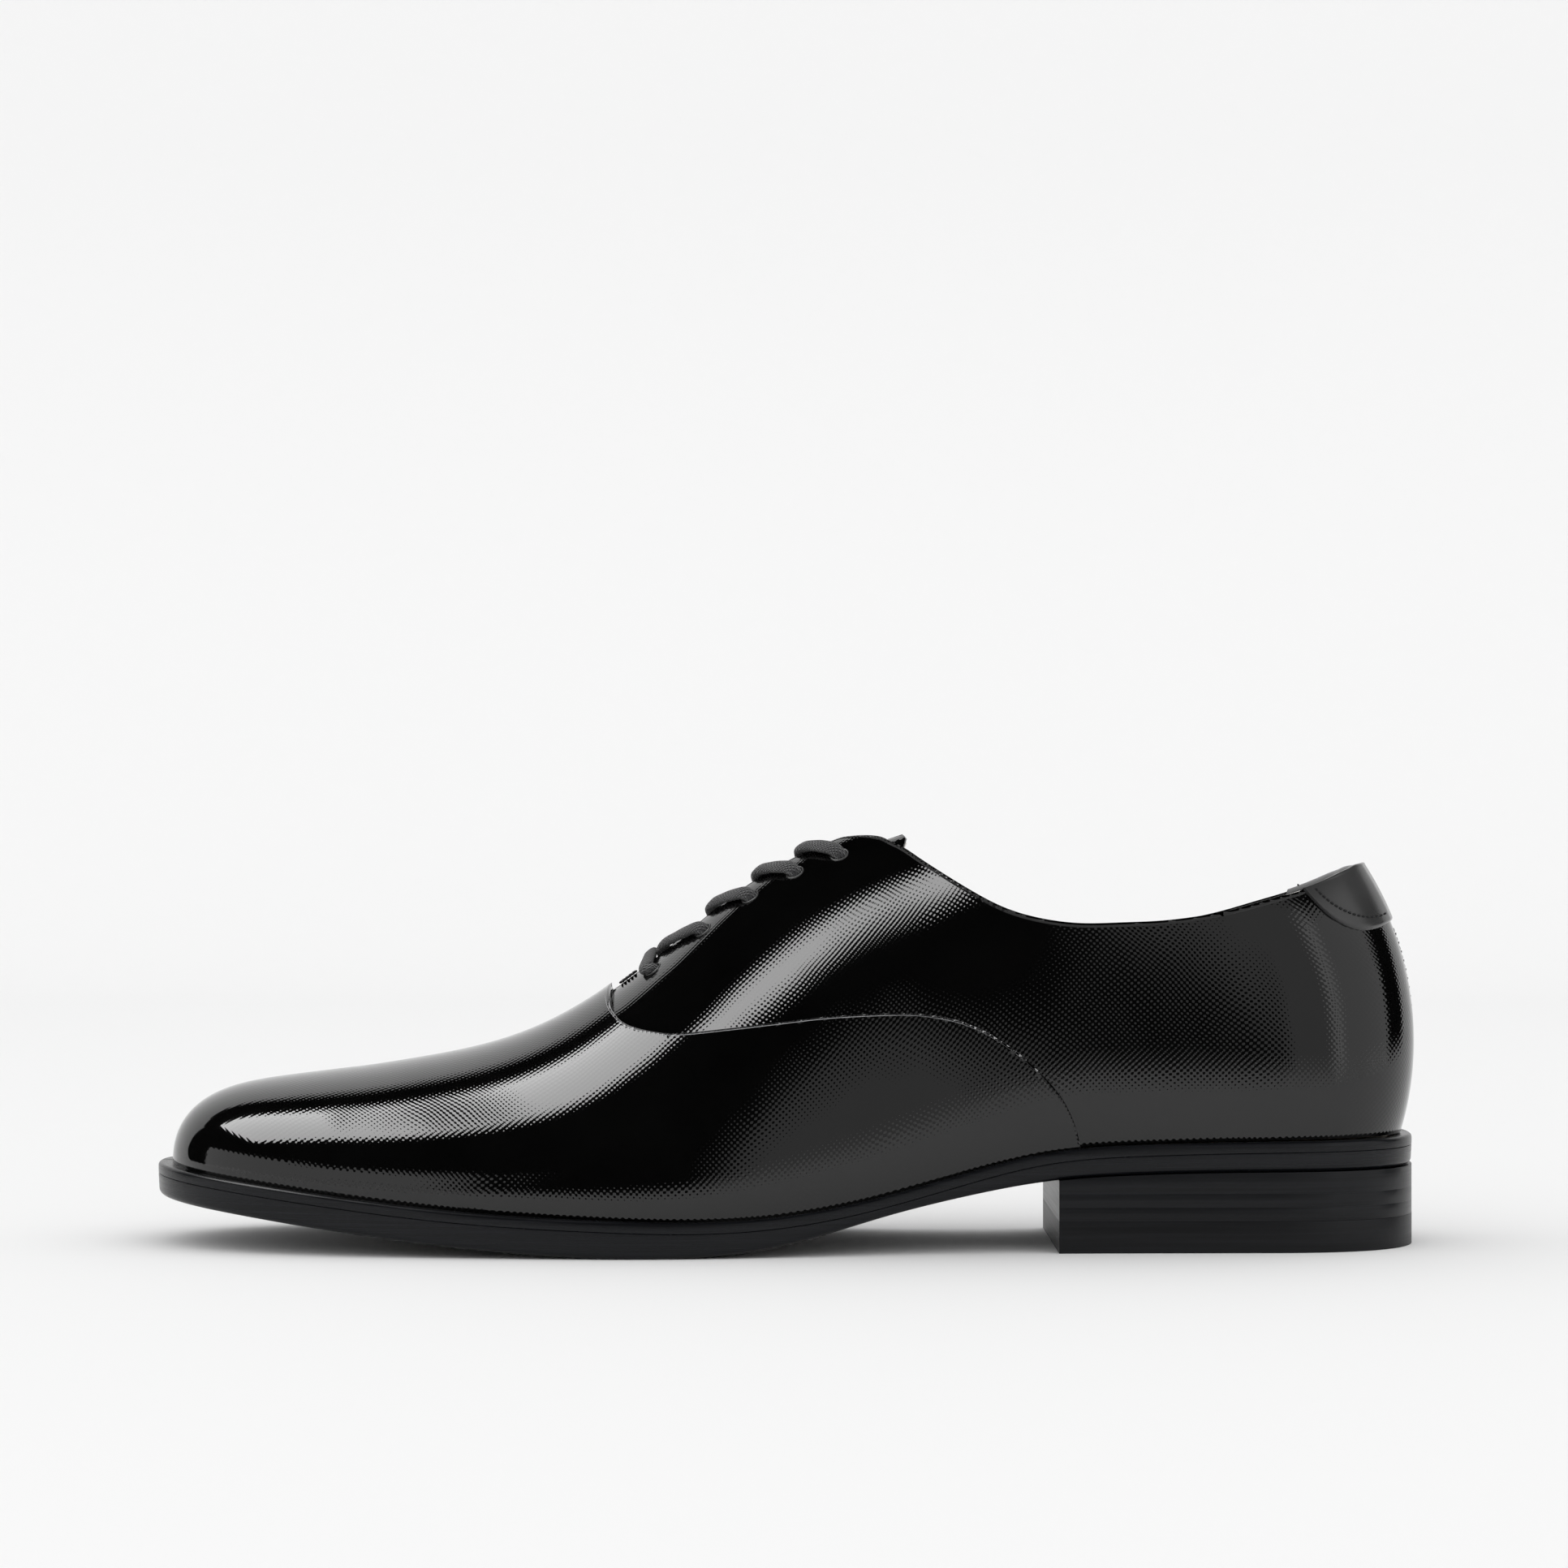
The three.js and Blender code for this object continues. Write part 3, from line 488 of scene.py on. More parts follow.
def waves(nodes, coordinate, pitch, drift, reach):
    """A sine of that pitch along a flat coordinate, drifting by a slow wave."""
    moved = nodes.math("ADD", coordinate, nodes.math("MULTIPLY", drift, reach))
    return nodes.math("SINE", nodes.math("MULTIPLY", moved, 2 * math.pi / pitch))


def embossed_leather(name="upper_leather", grain=1.0, low=0.04, high=0.075, pale=1.0):
    """Glossy black calf printed with small staggered domes; grain 0 leaves it smooth."""
    nodes = Nodes(name)
    nodes.put(nodes.shader, Specular_IOR_Level=0.55, IOR=1.5)
    place = nodes.place()
    tone = nodes.noise(45.0, 4.0, place)
    dark, light = 0.001 * pale, 0.002 * pale
    nodes.colour(tone, (dark, dark, dark), (light, light, light))
    nodes.rough(nodes.noise(160.0, 2.0, place), low, high)
    flat = nodes.add("ShaderNodeUVMap", uv_map="UVMap")
    split = nodes.add("ShaderNodeSeparateXYZ")
    nodes.link(flat.outputs[0], split.inputs[0])
    slow = nodes.add("ShaderNodeTexNoise", noise_dimensions="2D")
    nodes.put(slow, Scale=0.055, Detail=1.0)
    nodes.link(flat.outputs[0], slow.inputs["Vector"])
    drift = nodes.math("SUBTRACT", slow.outputs["Fac"], 0.5)
    along = waves(nodes, split.outputs[0], 2 * GRAIN_PITCH, drift, 3.5)
    up = waves(nodes, split.outputs[1], 2 * GRAIN_ROW, drift, 1.2)
    domes = nodes.math("MULTIPLY", along, up)
    shaped = nodes.math("MULTIPLY", nodes.math("ADD", domes, 1.0), 0.5)
    spread = nodes.add("ShaderNodeSeparateXYZ")
    nodes.link(place, spread.inputs[0])
    fade = nodes.ramp(nodes.math("ADD", spread.outputs[0], 0.5), 0.357, 0.385)
    height = nodes.math("MULTIPLY", nodes.math("MULTIPLY", shaped, fade), grain)
    fine = nodes.math("MULTIPLY", nodes.noise(900.0, 2.0, place), 0.1)
    nodes.bump(nodes.math("ADD", height, fine), 0.000023)
    return nodes.material


def inked_edge_painted_highlight():
    """Cut leather edge, inked black. Towards the throat it is painted pale as a painted highlight where the
    edge catches the light, and it keeps its own black further back.
    """
    nodes = Nodes("inked_edge_painted_highlight")
    place = nodes.place()
    split = nodes.add("ShaderNodeSeparateXYZ")
    nodes.link(place, split.inputs[0])
    back = nodes.math("ADD", split.outputs[0], 0.5)
    highlight_end_jitter = nodes.math("MULTIPLY", nodes.math("SUBTRACT", nodes.noise(260.0, 3.0, place), 0.5), 0.05)
    # pale is a painted highlight standing in for light caught by the edge; inked is the edge's own black
    pale, inked = (0.62, 0.62, 0.64, 1), (0.012, 0.012, 0.013, 1)
    tone = nodes.ramp(nodes.math("ADD", back, highlight_end_jitter), 0.515, 0.56, pale, inked)
    nodes.link(tone, nodes.shader.inputs["Base Color"])
    nodes.rough(nodes.noise(900.0, 3.0, place), 0.4, 0.6)
    nodes.bump(nodes.noise(1800.0, 3.0, place), 0.00004)
    return nodes.material


def plain_leather(name, first, last, low, high, scale=350.0, depth=0.00006):
    """Smooth leather with fine pores, for linings and edges."""
    nodes = Nodes(name)
    place = nodes.place()
    nodes.colour(nodes.noise(60.0, 5.0, place), first, last)
    nodes.rough(nodes.noise(200.0, 3.0, place), low, high)
    pores = nodes.add("ShaderNodeTexVoronoi", feature="F1")
    nodes.put(pores, Scale=scale * 4)
    nodes.link(place, pores.inputs["Vector"])
    height = nodes.math("ADD", pores.outputs["Distance"], nodes.noise(scale, 5.0, place))
    nodes.bump(height, depth, 0.6)
    return nodes.material


def edge_finish(name, layer=0.0, low=0.2, high=0.34):
    """Ink-dressed sole edge: satin black, faintly streaked along its layers."""
    nodes = Nodes(name)
    place = nodes.place()
    stretch = nodes.add("ShaderNodeMapping")
    stretch.inputs["Scale"].default_value = (20.0, 20.0, 1500.0)
    nodes.link(place, stretch.inputs["Vector"])
    streak = nodes.noise(1.0, 4.0, stretch.outputs[0])
    nodes.colour(streak, (0.003, 0.0033, 0.0042), (0.007, 0.0076, 0.0095))
    nodes.rough(streak, low, high)
    nodes.put(nodes.shader, Specular_IOR_Level=0.22)
    grain = nodes.math("MULTIPLY", nodes.noise(700.0, 3.0, place), 0.6)
    height = nodes.math("ADD", nodes.math("MULTIPLY", streak, 0.15 + 0.2 * layer), grain)
    nodes.bump(height, 0.00003)
    return nodes.material


BRAID_PITCH = 1.0


def braid(name="lace_cotton"):
    """A flat tubular braid: strands crossing in a herringbone, along UV in mm."""
    nodes = Nodes(name)
    flat = nodes.add("ShaderNodeUVMap", uv_map="UVMap")
    split = nodes.add("ShaderNodeSeparateXYZ")
    nodes.link(flat.outputs[0], split.inputs[0])
    strands = []
    for lean in ("ADD", "SUBTRACT"):
        slant = nodes.math(lean, split.outputs[0], split.outputs[1])
        strands.append(nodes.math("SINE", nodes.math("MULTIPLY", slant, 2 * math.pi / BRAID_PITCH)))
    weave = nodes.math("MAXIMUM", *strands)
    place = nodes.place()
    fuzz = nodes.noise(2600.0, 4.0, place)
    flecks = nodes.math("ADD", nodes.math("MULTIPLY", weave, 0.3), fuzz)
    nodes.colour(flecks, (0.003, 0.003, 0.0035), (0.034, 0.034, 0.037))
    nodes.put(nodes.shader, Sheen_Weight=0.35, Sheen_Roughness=0.4, Specular_IOR_Level=0.35)
    nodes.rough(fuzz, 0.5, 0.75)
    height = nodes.math("ADD", weave, nodes.math("MULTIPLY", fuzz, 0.5))
    nodes.bump(height, 0.00028)
    return nodes.material


def board(name, first, last, rough=0.85, scale=500.0):
    """Pressed fibre, cork or suede: mottled and matt."""
    nodes = Nodes(name)
    place = nodes.place()
    cells = nodes.add("ShaderNodeTexVoronoi")
    nodes.put(cells, Scale=scale)
    nodes.link(place, cells.inputs["Vector"])
    edges = nodes.math("MULTIPLY", cells.outputs["Distance"], 0.3)
    nodes.colour(nodes.math("ADD", nodes.noise(scale, 5.0, place), edges), first, last)
    nodes.rough(nodes.noise(scale, 2.0, place), rough - 0.1, min(1.0, rough + 0.1))
    nodes.bump(cells.outputs["Distance"], 0.0001)
    return nodes.material


def metal(name, colour, low, high):
    nodes = Nodes(name)
    place = nodes.place()
    nodes.colour(nodes.noise(300.0, 3.0, place), colour, tuple(c * 0.8 for c in colour))
    nodes.put(nodes.shader, Metallic=1.0)
    nodes.rough(nodes.noise(900.0, 3.0, place), low, high)
    return nodes.material


MATERIALS = {
    "upper_leather": embossed_leather(),
    # the vamp's cut edge: its own inked black, with a painted highlight towards the throat
    "inked_edge_painted_highlight": inked_edge_painted_highlight(),
    "patch_leather": embossed_leather("patch_leather", 0.0, 0.2, 0.26, pale=22.0),
    "lining_leather": plain_leather("lining_leather", (0.70, 0.68, 0.63), (0.80, 0.78, 0.74), 0.5, 0.65),
    "sock_leather": plain_leather("sock_leather", (0.60, 0.57, 0.51), (0.70, 0.67, 0.61), 0.5, 0.65),
    "grip_suede": board("grip_suede", (0.50, 0.46, 0.40), (0.66, 0.62, 0.56), 0.9, 900.0),
    "stiffener_board": board("stiffener_board", (0.36, 0.26, 0.16), (0.52, 0.40, 0.27)),
    "stay_fabric": board("stay_fabric", (0.62, 0.60, 0.55), (0.75, 0.73, 0.69), 0.9, 1500.0),
    "lace_cotton": braid(),
    "thread": plain_leather("thread", (0.003, 0.003, 0.0035), (0.008, 0.008, 0.009), 0.6, 0.8),
    "aglet_film": edge_finish("aglet_film", 0.0, 0.1, 0.2),
    "eyelet_brass": metal("eyelet_brass", (0.62, 0.47, 0.22), 0.2, 0.35),
    "sole_edge": edge_finish("sole_edge"),
    "heel_stack": edge_finish("heel_stack", 0.8, 0.26, 0.4),
    "top_lift_rubber": edge_finish("top_lift_rubber", 0.0, 0.34, 0.5),
    "cork": board("cork", (0.26, 0.16, 0.08), (0.48, 0.32, 0.19)),
    "spring_steel": metal("spring_steel", (0.56, 0.57, 0.59), 0.25, 0.4),
    "nail_steel": metal("nail_steel", (0.5, 0.51, 0.53), 0.3, 0.45),
}


def dress_cad():
    """Gives each CAD node the material of its record slot."""
    for entry in frame["record"]["subparts"]:
        node = frame["nodes"][entry["node"]]
        node.data.materials.clear()
        node.data.materials.append(MATERIALS[entry["material_slot"]])


# ---- camera and lights ----
CAMERA_BACK = 1.18
CAMERA_HIGH = 0.1108
LENS = 111.4


def make_camera():
    data = bpy.data.cameras.new("camera")
    data.lens = LENS
    data.clip_end = 20
    camera = bpy.data.objects.new("camera", data)
    camera.location = spot(0, -CAMERA_BACK / MM, CAMERA_HIGH / MM)
    camera.rotation_euler = (math.pi / 2, 0, 0)
    bpy.context.scene.collection.objects.link(camera)
    bpy.context.scene.camera = camera


# ---- upper ----
def seam_stations(side, count=130):
    x, z = even(SEAM, count).T
    return locate(x, z, side)


def fill_down(u, top_t, low_t, count):
    """Rows at the same t all along, each stopped where it meets the upper or lower edge."""
    rows = np.linspace(0, 1, count)
    return u[:, None] + 0 * rows, np.clip(rows + 0 * u[:, None], low_t[:, None], top_t[:, None])


def make_vamp():
    sheets, uvs = [], []
    for side in SIDES.values():
        seam_u, seam_t = seam_stations(side)
        front = np.linspace(0.0004, seam_u[0], 150)
        u = np.concatenate([front[:-1], seam_u])
        top = np.concatenate([np.ones(149), seam_t])
        top[148:151] = 1
        u, t = fill_down(u, top, np.zeros(len(u)), 110)
        uv = skin_uv(u, t, side)
        sheet = rimmed(u, t, side, 0.0, CUT_RIM, [0.02])
        sheet[:148, 109:] = on_last(u[:148, -1:], t[:148, -1:], side, np.zeros((148, 1)))
        uvs.append(rim_uv(uv, len(CUT_RIM)))
        sheets.append(sheet)
    vamp = grids("vamp_leather", sheets, MATERIALS["upper_leather"], uvs=uvs)
    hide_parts("vamp")
    return vamp


EDGE_PROFILE = [(-0.55, 0.08), (-0.5, 0.03), (-0.3, 0.12), (0.0, 0.33), (0.08, 0.42), (0.06, 0.75)]


def make_vamp_edge_highlight():
    """The cut edge of the vamp's leather along the seam, showing as a thin line: painted pale towards the
    throat as a painted highlight, black further back.
    """
    sheets = []
    for side in SIDES.values():
        u, t = seam_stations(side, 260)
        edge = on_last(u, t, side, np.zeros(len(u)))
        normal = last_normal(u, t, side)
        along = unit(np.gradient(edge, axis=0))
        away = unit(np.cross(along, normal))
        away *= np.sign(np.sum(away * (edge - last_point(u, t - 0.01, side)), -1, keepdims=True))
        steps = [edge + away * reach + normal * (0.05 - depth) for reach, depth in EDGE_PROFILE]
        sheets.append(np.stack(steps, 1))
    strip = grids("vamp_raw_edge", sheets, MATERIALS["inked_edge_painted_highlight"])


def top_edge(side, rise=0.0, count=330):
    """The free edge of a quarter: up the facing, round its corner and back along the topline."""
    facing_u = along_u(np.linspace(-50, 18.5, 40))
    facing = [(u, at_width(u, FACING_HALF_GAP, side)) for u in facing_u]
    xs = np.concatenate([[22.4, 25.2, 28.5], np.linspace(32, 139.2, 40)])
    zs = np.concatenate([[99.3, 98.2], topline_at(xs[2:], side)]) + rise
    line_u, line_t = locate(xs, zs, side)
    path = facing + list(zip(line_u, line_t))
    last_t = at_height(1.0, TOPLINE(139.2) + rise + 0.2, side)
    path = [p for p in path if p[0] < 0.9985] + [(1.0, last_t)]
    scale = np.array([300.0, 110.0])
    edge = even(np.array([(u, float(t)) for u, t in path]) * scale, count) / scale
    for _ in range(6):
        edge[1:-1] = (edge[:-2] + 2 * edge[1:-1] + edge[2:]) / 4
    return edge[:, 0], edge[:, 1]


def low_edge(u, side):
    """Where a quarter stops below: a lap under the vamp, or the feather edge behind it."""
    seam_u, seam_t = seam_stations(side)
    t = np.interp(u, seam_u, seam_t) - 0.07
    t = np.where(u < seam_u[0], 0.7, t)
    return np.where(u > seam_u[-1], 0.0, np.clip(t, 0, 1))


def quarter_grid(side, rise, rows):
    top_u, top_t = top_edge(side, rise)
    seam_u, _ = seam_stations(side)
    tail = np.linspace(seam_u[-20], seam_u[-1] + 0.01, 60)
    u = np.unique(np.concatenate([top_u, tail]))
    top = np.interp(u, top_u, top_t)
    return fill_down(u, top, np.minimum(low_edge(u, side), top - 0.02), rows)


def make_quarter(name, side):
    u, t = quarter_grid(side, 0.0, 80)
    profile = round_rim(2.2)
    sheet = rimmed(u, t, side, QUARTER_OUT, profile, [0.01, 0.05])
    uv = rim_uv(skin_uv(u, t, side), len(profile) + 1)
    quarter = grids("quarter_leather_" + name, [sheet], MATERIALS["upper_leather"], uvs=[uv])
    punch(quarter, side)
    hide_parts("quarter_" + name)


def make_lining(name, side):
    u, t = quarter_grid(side, 0.45, 60)
    t = np.concatenate([t[:, :1] * 0.4, t[:, 1:]], 1)
    profile = round_rim(0.95)
    sheet = rimmed(u, t, side, LINING_IN, [(r, -d) for r, d in profile], [0.02])
    lining = grids("lining_leather_" + name, [sheet], MATERIALS["lining_leather"])
    punch(lining, side)
    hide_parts("quarter_lining_" + name)


def make_vamp_lining():
    """The lining of the forepart, which meets the quarter linings under the seam."""
    sheets = []
    for side in SIDES.values():
        u = np.linspace(0.012, seam_stations(side)[0][-1], 160)
        top = np.clip(low_edge(u, side) - 0.012, 0.03, 1)
        top = np.where(u < seam_stations(side)[0][0] - 0.004, 1.0, top)
        s = np.linspace(0.02, 1, 40)
        t = top[:, None] * s
        grid_u = u[:, None] + 0 * t
        inner = on_last(grid_u, t, side, np.full(t.shape, LINING_IN))
        outer = on_last(grid_u[:, ::-1], t[:, ::-1], side, np.full(t.shape, LINING_OUT - 0.02))
        sheets.append(np.concatenate([inner, outer], 1))
    lining = grids("vamp_lining_leather", sheets, MATERIALS["lining_leather"])
    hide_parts("vamp_lining")


# ---- eyelets ----
def eyelet_place(x, side):
    u = along_u(x + 1.5)
    t = at_width(u, EYELET_FROM_CENTRE, side)
    return u, t


def eyelet_axis(x, side):
    u, t = eyelet_place(x, side)
    return on_last(u, t, side, np.array(QUARTER_OUT)), last_normal(u, t, side)


def ring_points(centre, axis, radius, count):
    aside = unit(np.cross(axis, [1.0, 0.2, 0.1]))
    other = np.cross(axis, aside)
    angle = np.linspace(0, 2 * math.pi, count, endpoint=False)[:, None]
    return centre + radius * (np.cos(angle) * aside + np.sin(angle) * other)


EYELET_RADIUS = 2.05


def punch(obj, side):
    """Opens the five lace holes in a leather sheet, with finer faces round each."""
    mesh = bmesh.new()
    mesh.from_mesh(obj.data)
    for x in EYELET_X:
        centre, axis = eyelet_axis(x, side)
        centre = Vector(((centre + ORIGIN) * MM).tolist())
        axis = Vector(axis.tolist())

        def radial(v):
            offset = v.co - centre
            depth = offset.dot(axis)
            return offset - axis * depth, depth

        def near(v, reach):
            out, depth = radial(v)
            return out.length < reach * MM and abs(depth) < 6 * MM

        edges = {e for v in mesh.verts if near(v, EYELET_RADIUS + 1.2) for e in v.link_edges}
        bmesh.ops.subdivide_edges(mesh, edges=list(edges), cuts=3, use_grid_fill=True)
        inside = [v for v in mesh.verts if near(v, EYELET_RADIUS)]
        bmesh.ops.delete(mesh, geom=inside, context="VERTS")
        for v in mesh.verts:
            if near(v, EYELET_RADIUS + 0.6) and v.is_boundary:
                out, _ = radial(v)
                v.co += out.normalized() * (EYELET_RADIUS * MM - out.length)
    mesh.to_mesh(obj.data)
    mesh.free()


def make_eyelet_rims():
    """The rolled edge of each punched hole."""
    points, faces = [], []
    around, section_steps = 48, 10
    for side in SIDES.values():
        for x in EYELET_X:
            centre, axis = eyelet_axis(x, side)
            start = len(points)
            middle_ring = ring_points(centre - axis * 0.12, axis, EYELET_RADIUS + 0.05, around)
            out = unit(middle_ring - centre)
            for k in range(section_steps):
                a = 2 * math.pi * k / section_steps
                stretch = 1.3 if math.sin(a) < -0.5 else 0
                points += list(middle_ring + 0.26 * (math.cos(a) * out + math.sin(a) * axis) - stretch * axis)
            for k in range(section_steps):
                for i in range(around):
                    a = start + k * around + i
                    b = start + k * around + (i + 1) % around
                    c = start + (k + 1) % section_steps * around
                    faces.append((a, b, c + (i + 1) % around, c + i))
    rims = build("eyelet_rims", points, faces, MATERIALS["patch_leather"])
    weld(rims, 1e-7)


# ---- lace ----
LACE_WIDTH = 4.0
LACE_THICK = 2.0
EYELET_FILL = 3.0
LACE_OVER = QUARTER_OUT + LACE_THICK / 2 + 0.15


def spot_on(x, out, side, depth):
    """A point over or under a facing, and the surface's normal there."""
    u = along_u(x + 1.5)
    t = at_width(u, out, side)
    return on_last(u, t, side, np.array(depth)), last_normal(u, t, side)


def mid_spot(x, depth):
    u = along_u(x + 1.5)
    return on_last(u, np.array(1.0), -1, np.array(depth)), last_normal(u, np.array(1.0), -1)


def strand(first_side, over):
    """Rows of (point, normal, pinch) along one strand; pinch is 1 where the lace fills an eyelet."""
    way = [(*mid_spot(EYELET_X[0], LACE_OVER + 0.3), 0.0)]
    side = first_side
    for i, x in enumerate(EYELET_X):
        if i > 0:
            back = EYELET_X[i - 1]
            pitch = x - back
            lift = 0.8 if over else -0.5
            way.append((*spot_on(back + 0.05 * pitch, 8.5, side, LACE_UNDER), 0.6))
            way.append((*spot_on(back + 0.1 * pitch, 3.4, side, LACE_UNDER + 0.4 + 0.5 * lift), 0.5))
            way.append((*mid_spot(back + 0.16 * pitch, LACE_UNDER / 2 + 0.4 + lift), 0.4))
            side = -side
            way.append((*spot_on(back + 0.25 * pitch, 3.6, side, LACE_OVER + 0.1), 0.1))
            way.append((*spot_on(back + 0.5 * pitch, 6.4, side, LACE_OVER + 0.1), 0.0))
            way.append((*spot_on(back + 0.72 * pitch, 9.2, side, LACE_OVER + 0.1), 0.0))
        way.append((*spot_on(x - 1.2, EYELET_FROM_CENTRE - 1.4, side, LACE_OVER - 0.1), 0.1))
        way.append((*spot_on(x + 0.1, EYELET_FROM_CENTRE + 0.1, side, LACE_OVER - 1.2), 0.8))
        way.append((*spot_on(x, EYELET_FROM_CENTRE, side, (QUARTER_OUT + LINING_IN) / 2), 1.0))
        way.append((*spot_on(x, EYELET_FROM_CENTRE - 0.6, side, LACE_UNDER), 0.8))
    return np.array([[*point, *(5 * normal), 5 * pinch] for point, normal, pinch in way])


def lace_sheet(way, section_steps=20, per_mm=2.4):
    """The lace along its way: a soft oval lying flat on the leather, pinched in the eyelets."""
    run = np.linalg.norm(np.diff(way[:, :3], axis=0), axis=1).sum()
    path = even(way, int(run * per_mm))
    centre, normal, pinch = path[:, :3], unit(path[:, 3:6]), np.clip(path[:, 6:] / 5, 0, 1)
    ahead = unit(np.gradient(centre, axis=0))
    wide = np.cross(ahead, normal)
    for _ in range(6):
        wide[1:-1] = (wide[:-2] + 2 * wide[1:-1] + wide[2:]) / 4
    wide = unit(wide - ahead * np.sum(wide * ahead, -1, keepdims=True))
    thick = np.cross(wide, ahead)
    half_wide = (LACE_WIDTH * (1 - pinch) + EYELET_FILL * pinch) / 2
    half_thick = (LACE_THICK * (1 - pinch) + EYELET_FILL * pinch) / 2
    angle = np.linspace(0, 2 * math.pi, section_steps, endpoint=False)
    c, s = np.cos(angle), np.sin(angle)
    across = np.sign(c) * np.abs(c) ** 0.85
    high = np.sign(s) * np.abs(s) ** 0.85
    sheet = centre[:, None] + wide[:, None] * (half_wide * across)[..., None]
    sheet = sheet + thick[:, None] * (half_thick * high)[..., None]
    length = np.concatenate([[0], np.cumsum(np.linalg.norm(np.diff(centre, axis=0), axis=1))])
    uv = np.stack(np.broadcast_arrays(length[:, None], (angle * 1.9)[None]), -1)
    return sheet, uv


def tube_object(name, sheets, material, body="shoe"):
    points, faces, flat = [], [], []
    for sheet, uv in sheets:
        rows, columns, _ = sheet.shape
        start = sum(len(p) for p in points)
        faces += grid_faces(rows, columns, start, ring=True)
        faces += [tuple(range(start, start + columns))[::-1]]
        faces += [tuple(range(start + (rows - 1) * columns, start + rows * columns))]
        points.append(sheet.reshape(-1, 3))
        flat.append(uv.reshape(-1, 2))
    return build(name, np.vstack(points), faces, material, body, np.vstack(flat))


TAIL_ROUTE = [(18.5, 84), (21, 76), (25, 66), (31, 54), (40, 43.5), (54, 37.5), (72, 36.8), (88, 37.2)]


def tail_points(side):
    start, _ = spot_on(EYELET_X[4] + 0.6, EYELET_FROM_CENTRE + 3.4, side, LACE_UNDER)
    points = [start]
    for x, z in TAIL_ROUTE:
        u = along_u(x)
        depth = np.array(LACE_UNDER)
        t = settle(lambda t: on_last(u, t, side, depth)[..., 2] < z, np.array(0.0), np.array(1.0))
        points.append(on_last(u, t, side, depth))
    return np.array(points)


def make_lace():
    sheets = []
    for first_side, over in ((-1, True), (1, False)):
        sheets.append(lace_sheet(strand(first_side, over)))
    lace = tube_object("lace_braid", sheets, MATERIALS["lace_cotton"])
    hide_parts("lace")
    for name, side in SIDES.items():
        route = even(tail_points(side), 140)
        points = tail_points(side)
        sheet, uv, centre = tail_sheet(route)
        tail = tube_object("lace_tail_" + name, [(sheet, uv)], MATERIALS["lace_cotton"])
        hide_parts("lace_end_" + name)
        [spot(*p) for p in centre]


def tail_sheet(centre, section_steps=14):
    """The free end, rolled round where it lies inside the shoe."""
    ahead = unit(np.gradient(centre, axis=0))
    wide = unit(np.cross(ahead, [0, 1.0, 0.0]))
    thick = np.cross(wide, ahead)
    angle = np.linspace(0, 2 * math.pi, section_steps, endpoint=False)
    ring = wide[:, None] * np.cos(angle)[None, :, None] + thick[:, None] * np.sin(angle)[None, :, None]
    length = np.concatenate([[0], np.cumsum(np.linalg.norm(np.diff(centre, axis=0), axis=1))])
    uv = np.stack(np.broadcast_arrays(length[:, None], (angle * LACE_RADIUS)[None]), -1)
    return centre[:, None] + LACE_RADIUS * ring, uv, centre


# ---- heel tab ----
TAB_EDGE = [
    (123.7, 88.2), (124.3, 86.6), (126.5, 83.9), (129.7, 80.7), (133.2, 78.3), (136.8, 76.8), (140, 76.3),
    (143.8, 76.8), (147.0, 77.8),
]


def tab_stations(side, count=70):
    x, z = even(TAB_EDGE, count).T
    u, t = locate(x, z, side)
    keep = u < 0.998
    return np.append(u[keep], 1.0), np.append(t[keep], at_height(1.0, 77.8, side))


def make_heel_tab():
    """The patch over the back of the topline, rolled over it onto the lining."""
    sheets, uvs = [], []
    for side in SIDES.values():
        u, low_t = tab_stations(side)
        top_u, top_t = top_edge(side, 0.0)
        top = np.interp(u, top_u, top_t)
        low_t = np.minimum(low_t, top)
        s = np.linspace(0, 1, 40)
        grid_u = u[:, None] + 0 * s
        grid_t = low_t[:, None] + (top - low_t)[:, None] * s
        depth = np.full(grid_u.shape, -0.45)
        depth[:, 0] = QUARTER_OUT - 0.1
        depth[:, 1] = -0.75
        depth[:, 2] = -0.5
        face = on_last(grid_u, grid_t, side, depth)
        top_normal = last_normal(u, top, side)
        crown = on_last(u, top, side, np.full(u.shape, -2.9))
        up = np.array([0, 0, 1.0])
        rise = 0.45 + 0.75 * np.clip((u - u[0]) / (1 - u[0]) * 3, 0, 1)
        roll = []
        for a in np.linspace(0, math.pi, 12)[1:]:
            roll.append(crown + top_normal * 2.45 * math.cos(a) + up * (rise * math.sin(a))[:, None])
        down = [on_last(u, top - d, side, np.full(u.shape, LINING_IN - 0.65)) for d in (0.03, 0.06, 0.1)]
        sheet = np.concatenate([face, np.stack(roll + down, 1)], 1)
        sheets.append(sheet)
        uvs.append(np.stack([lengths(sheet, 0), lengths(sheet, 1)], -1))
    tab = grids("heel_tab_leather", sheets, MATERIALS["patch_leather"], uvs=uvs)
    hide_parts("heel_tab")


# ---- stitches ----
def stitch_row(name, places, length, radius, material, body="shoe"):
    """Short rounded thread bars: places is a list of (centre, direction, normal)."""
    points, faces = [], []
    rings, around = 7, 8
    for centre, direction, normal in places:
        direction, normal = unit(direction), unit(normal)
        aside = np.cross(direction, normal)
        start = len(points)
        for i in range(rings):
            a = math.pi * i / (rings - 1)
            r = radius * max(0.12, math.sin(a)) ** 0.6
            for k in range(around):
                b = 2 * math.pi * k / around
                ring = aside * r * math.cos(b) + normal * r * math.sin(b)
                points.append(centre - direction * (length / 2) * math.cos(a) + ring)
        faces += grid_faces(rings, around, start, ring=True)
        faces += [tuple(range(start, start + around))[::-1]]
        faces += [tuple(range(start + (rings - 1) * around, start + rings * around))]
    obj = build(name, points, faces, material, body)
    return obj


TAB_STITCH_LINE = [
    (126.0, 89.2), (126.6, 86.9), (128.8, 84.4), (131.7, 82.1), (135.5, 80.2), (139.6, 79.2), (143.4, 79.3),
    (146.2, 80.2),
]
TAB_STITCHES = 20


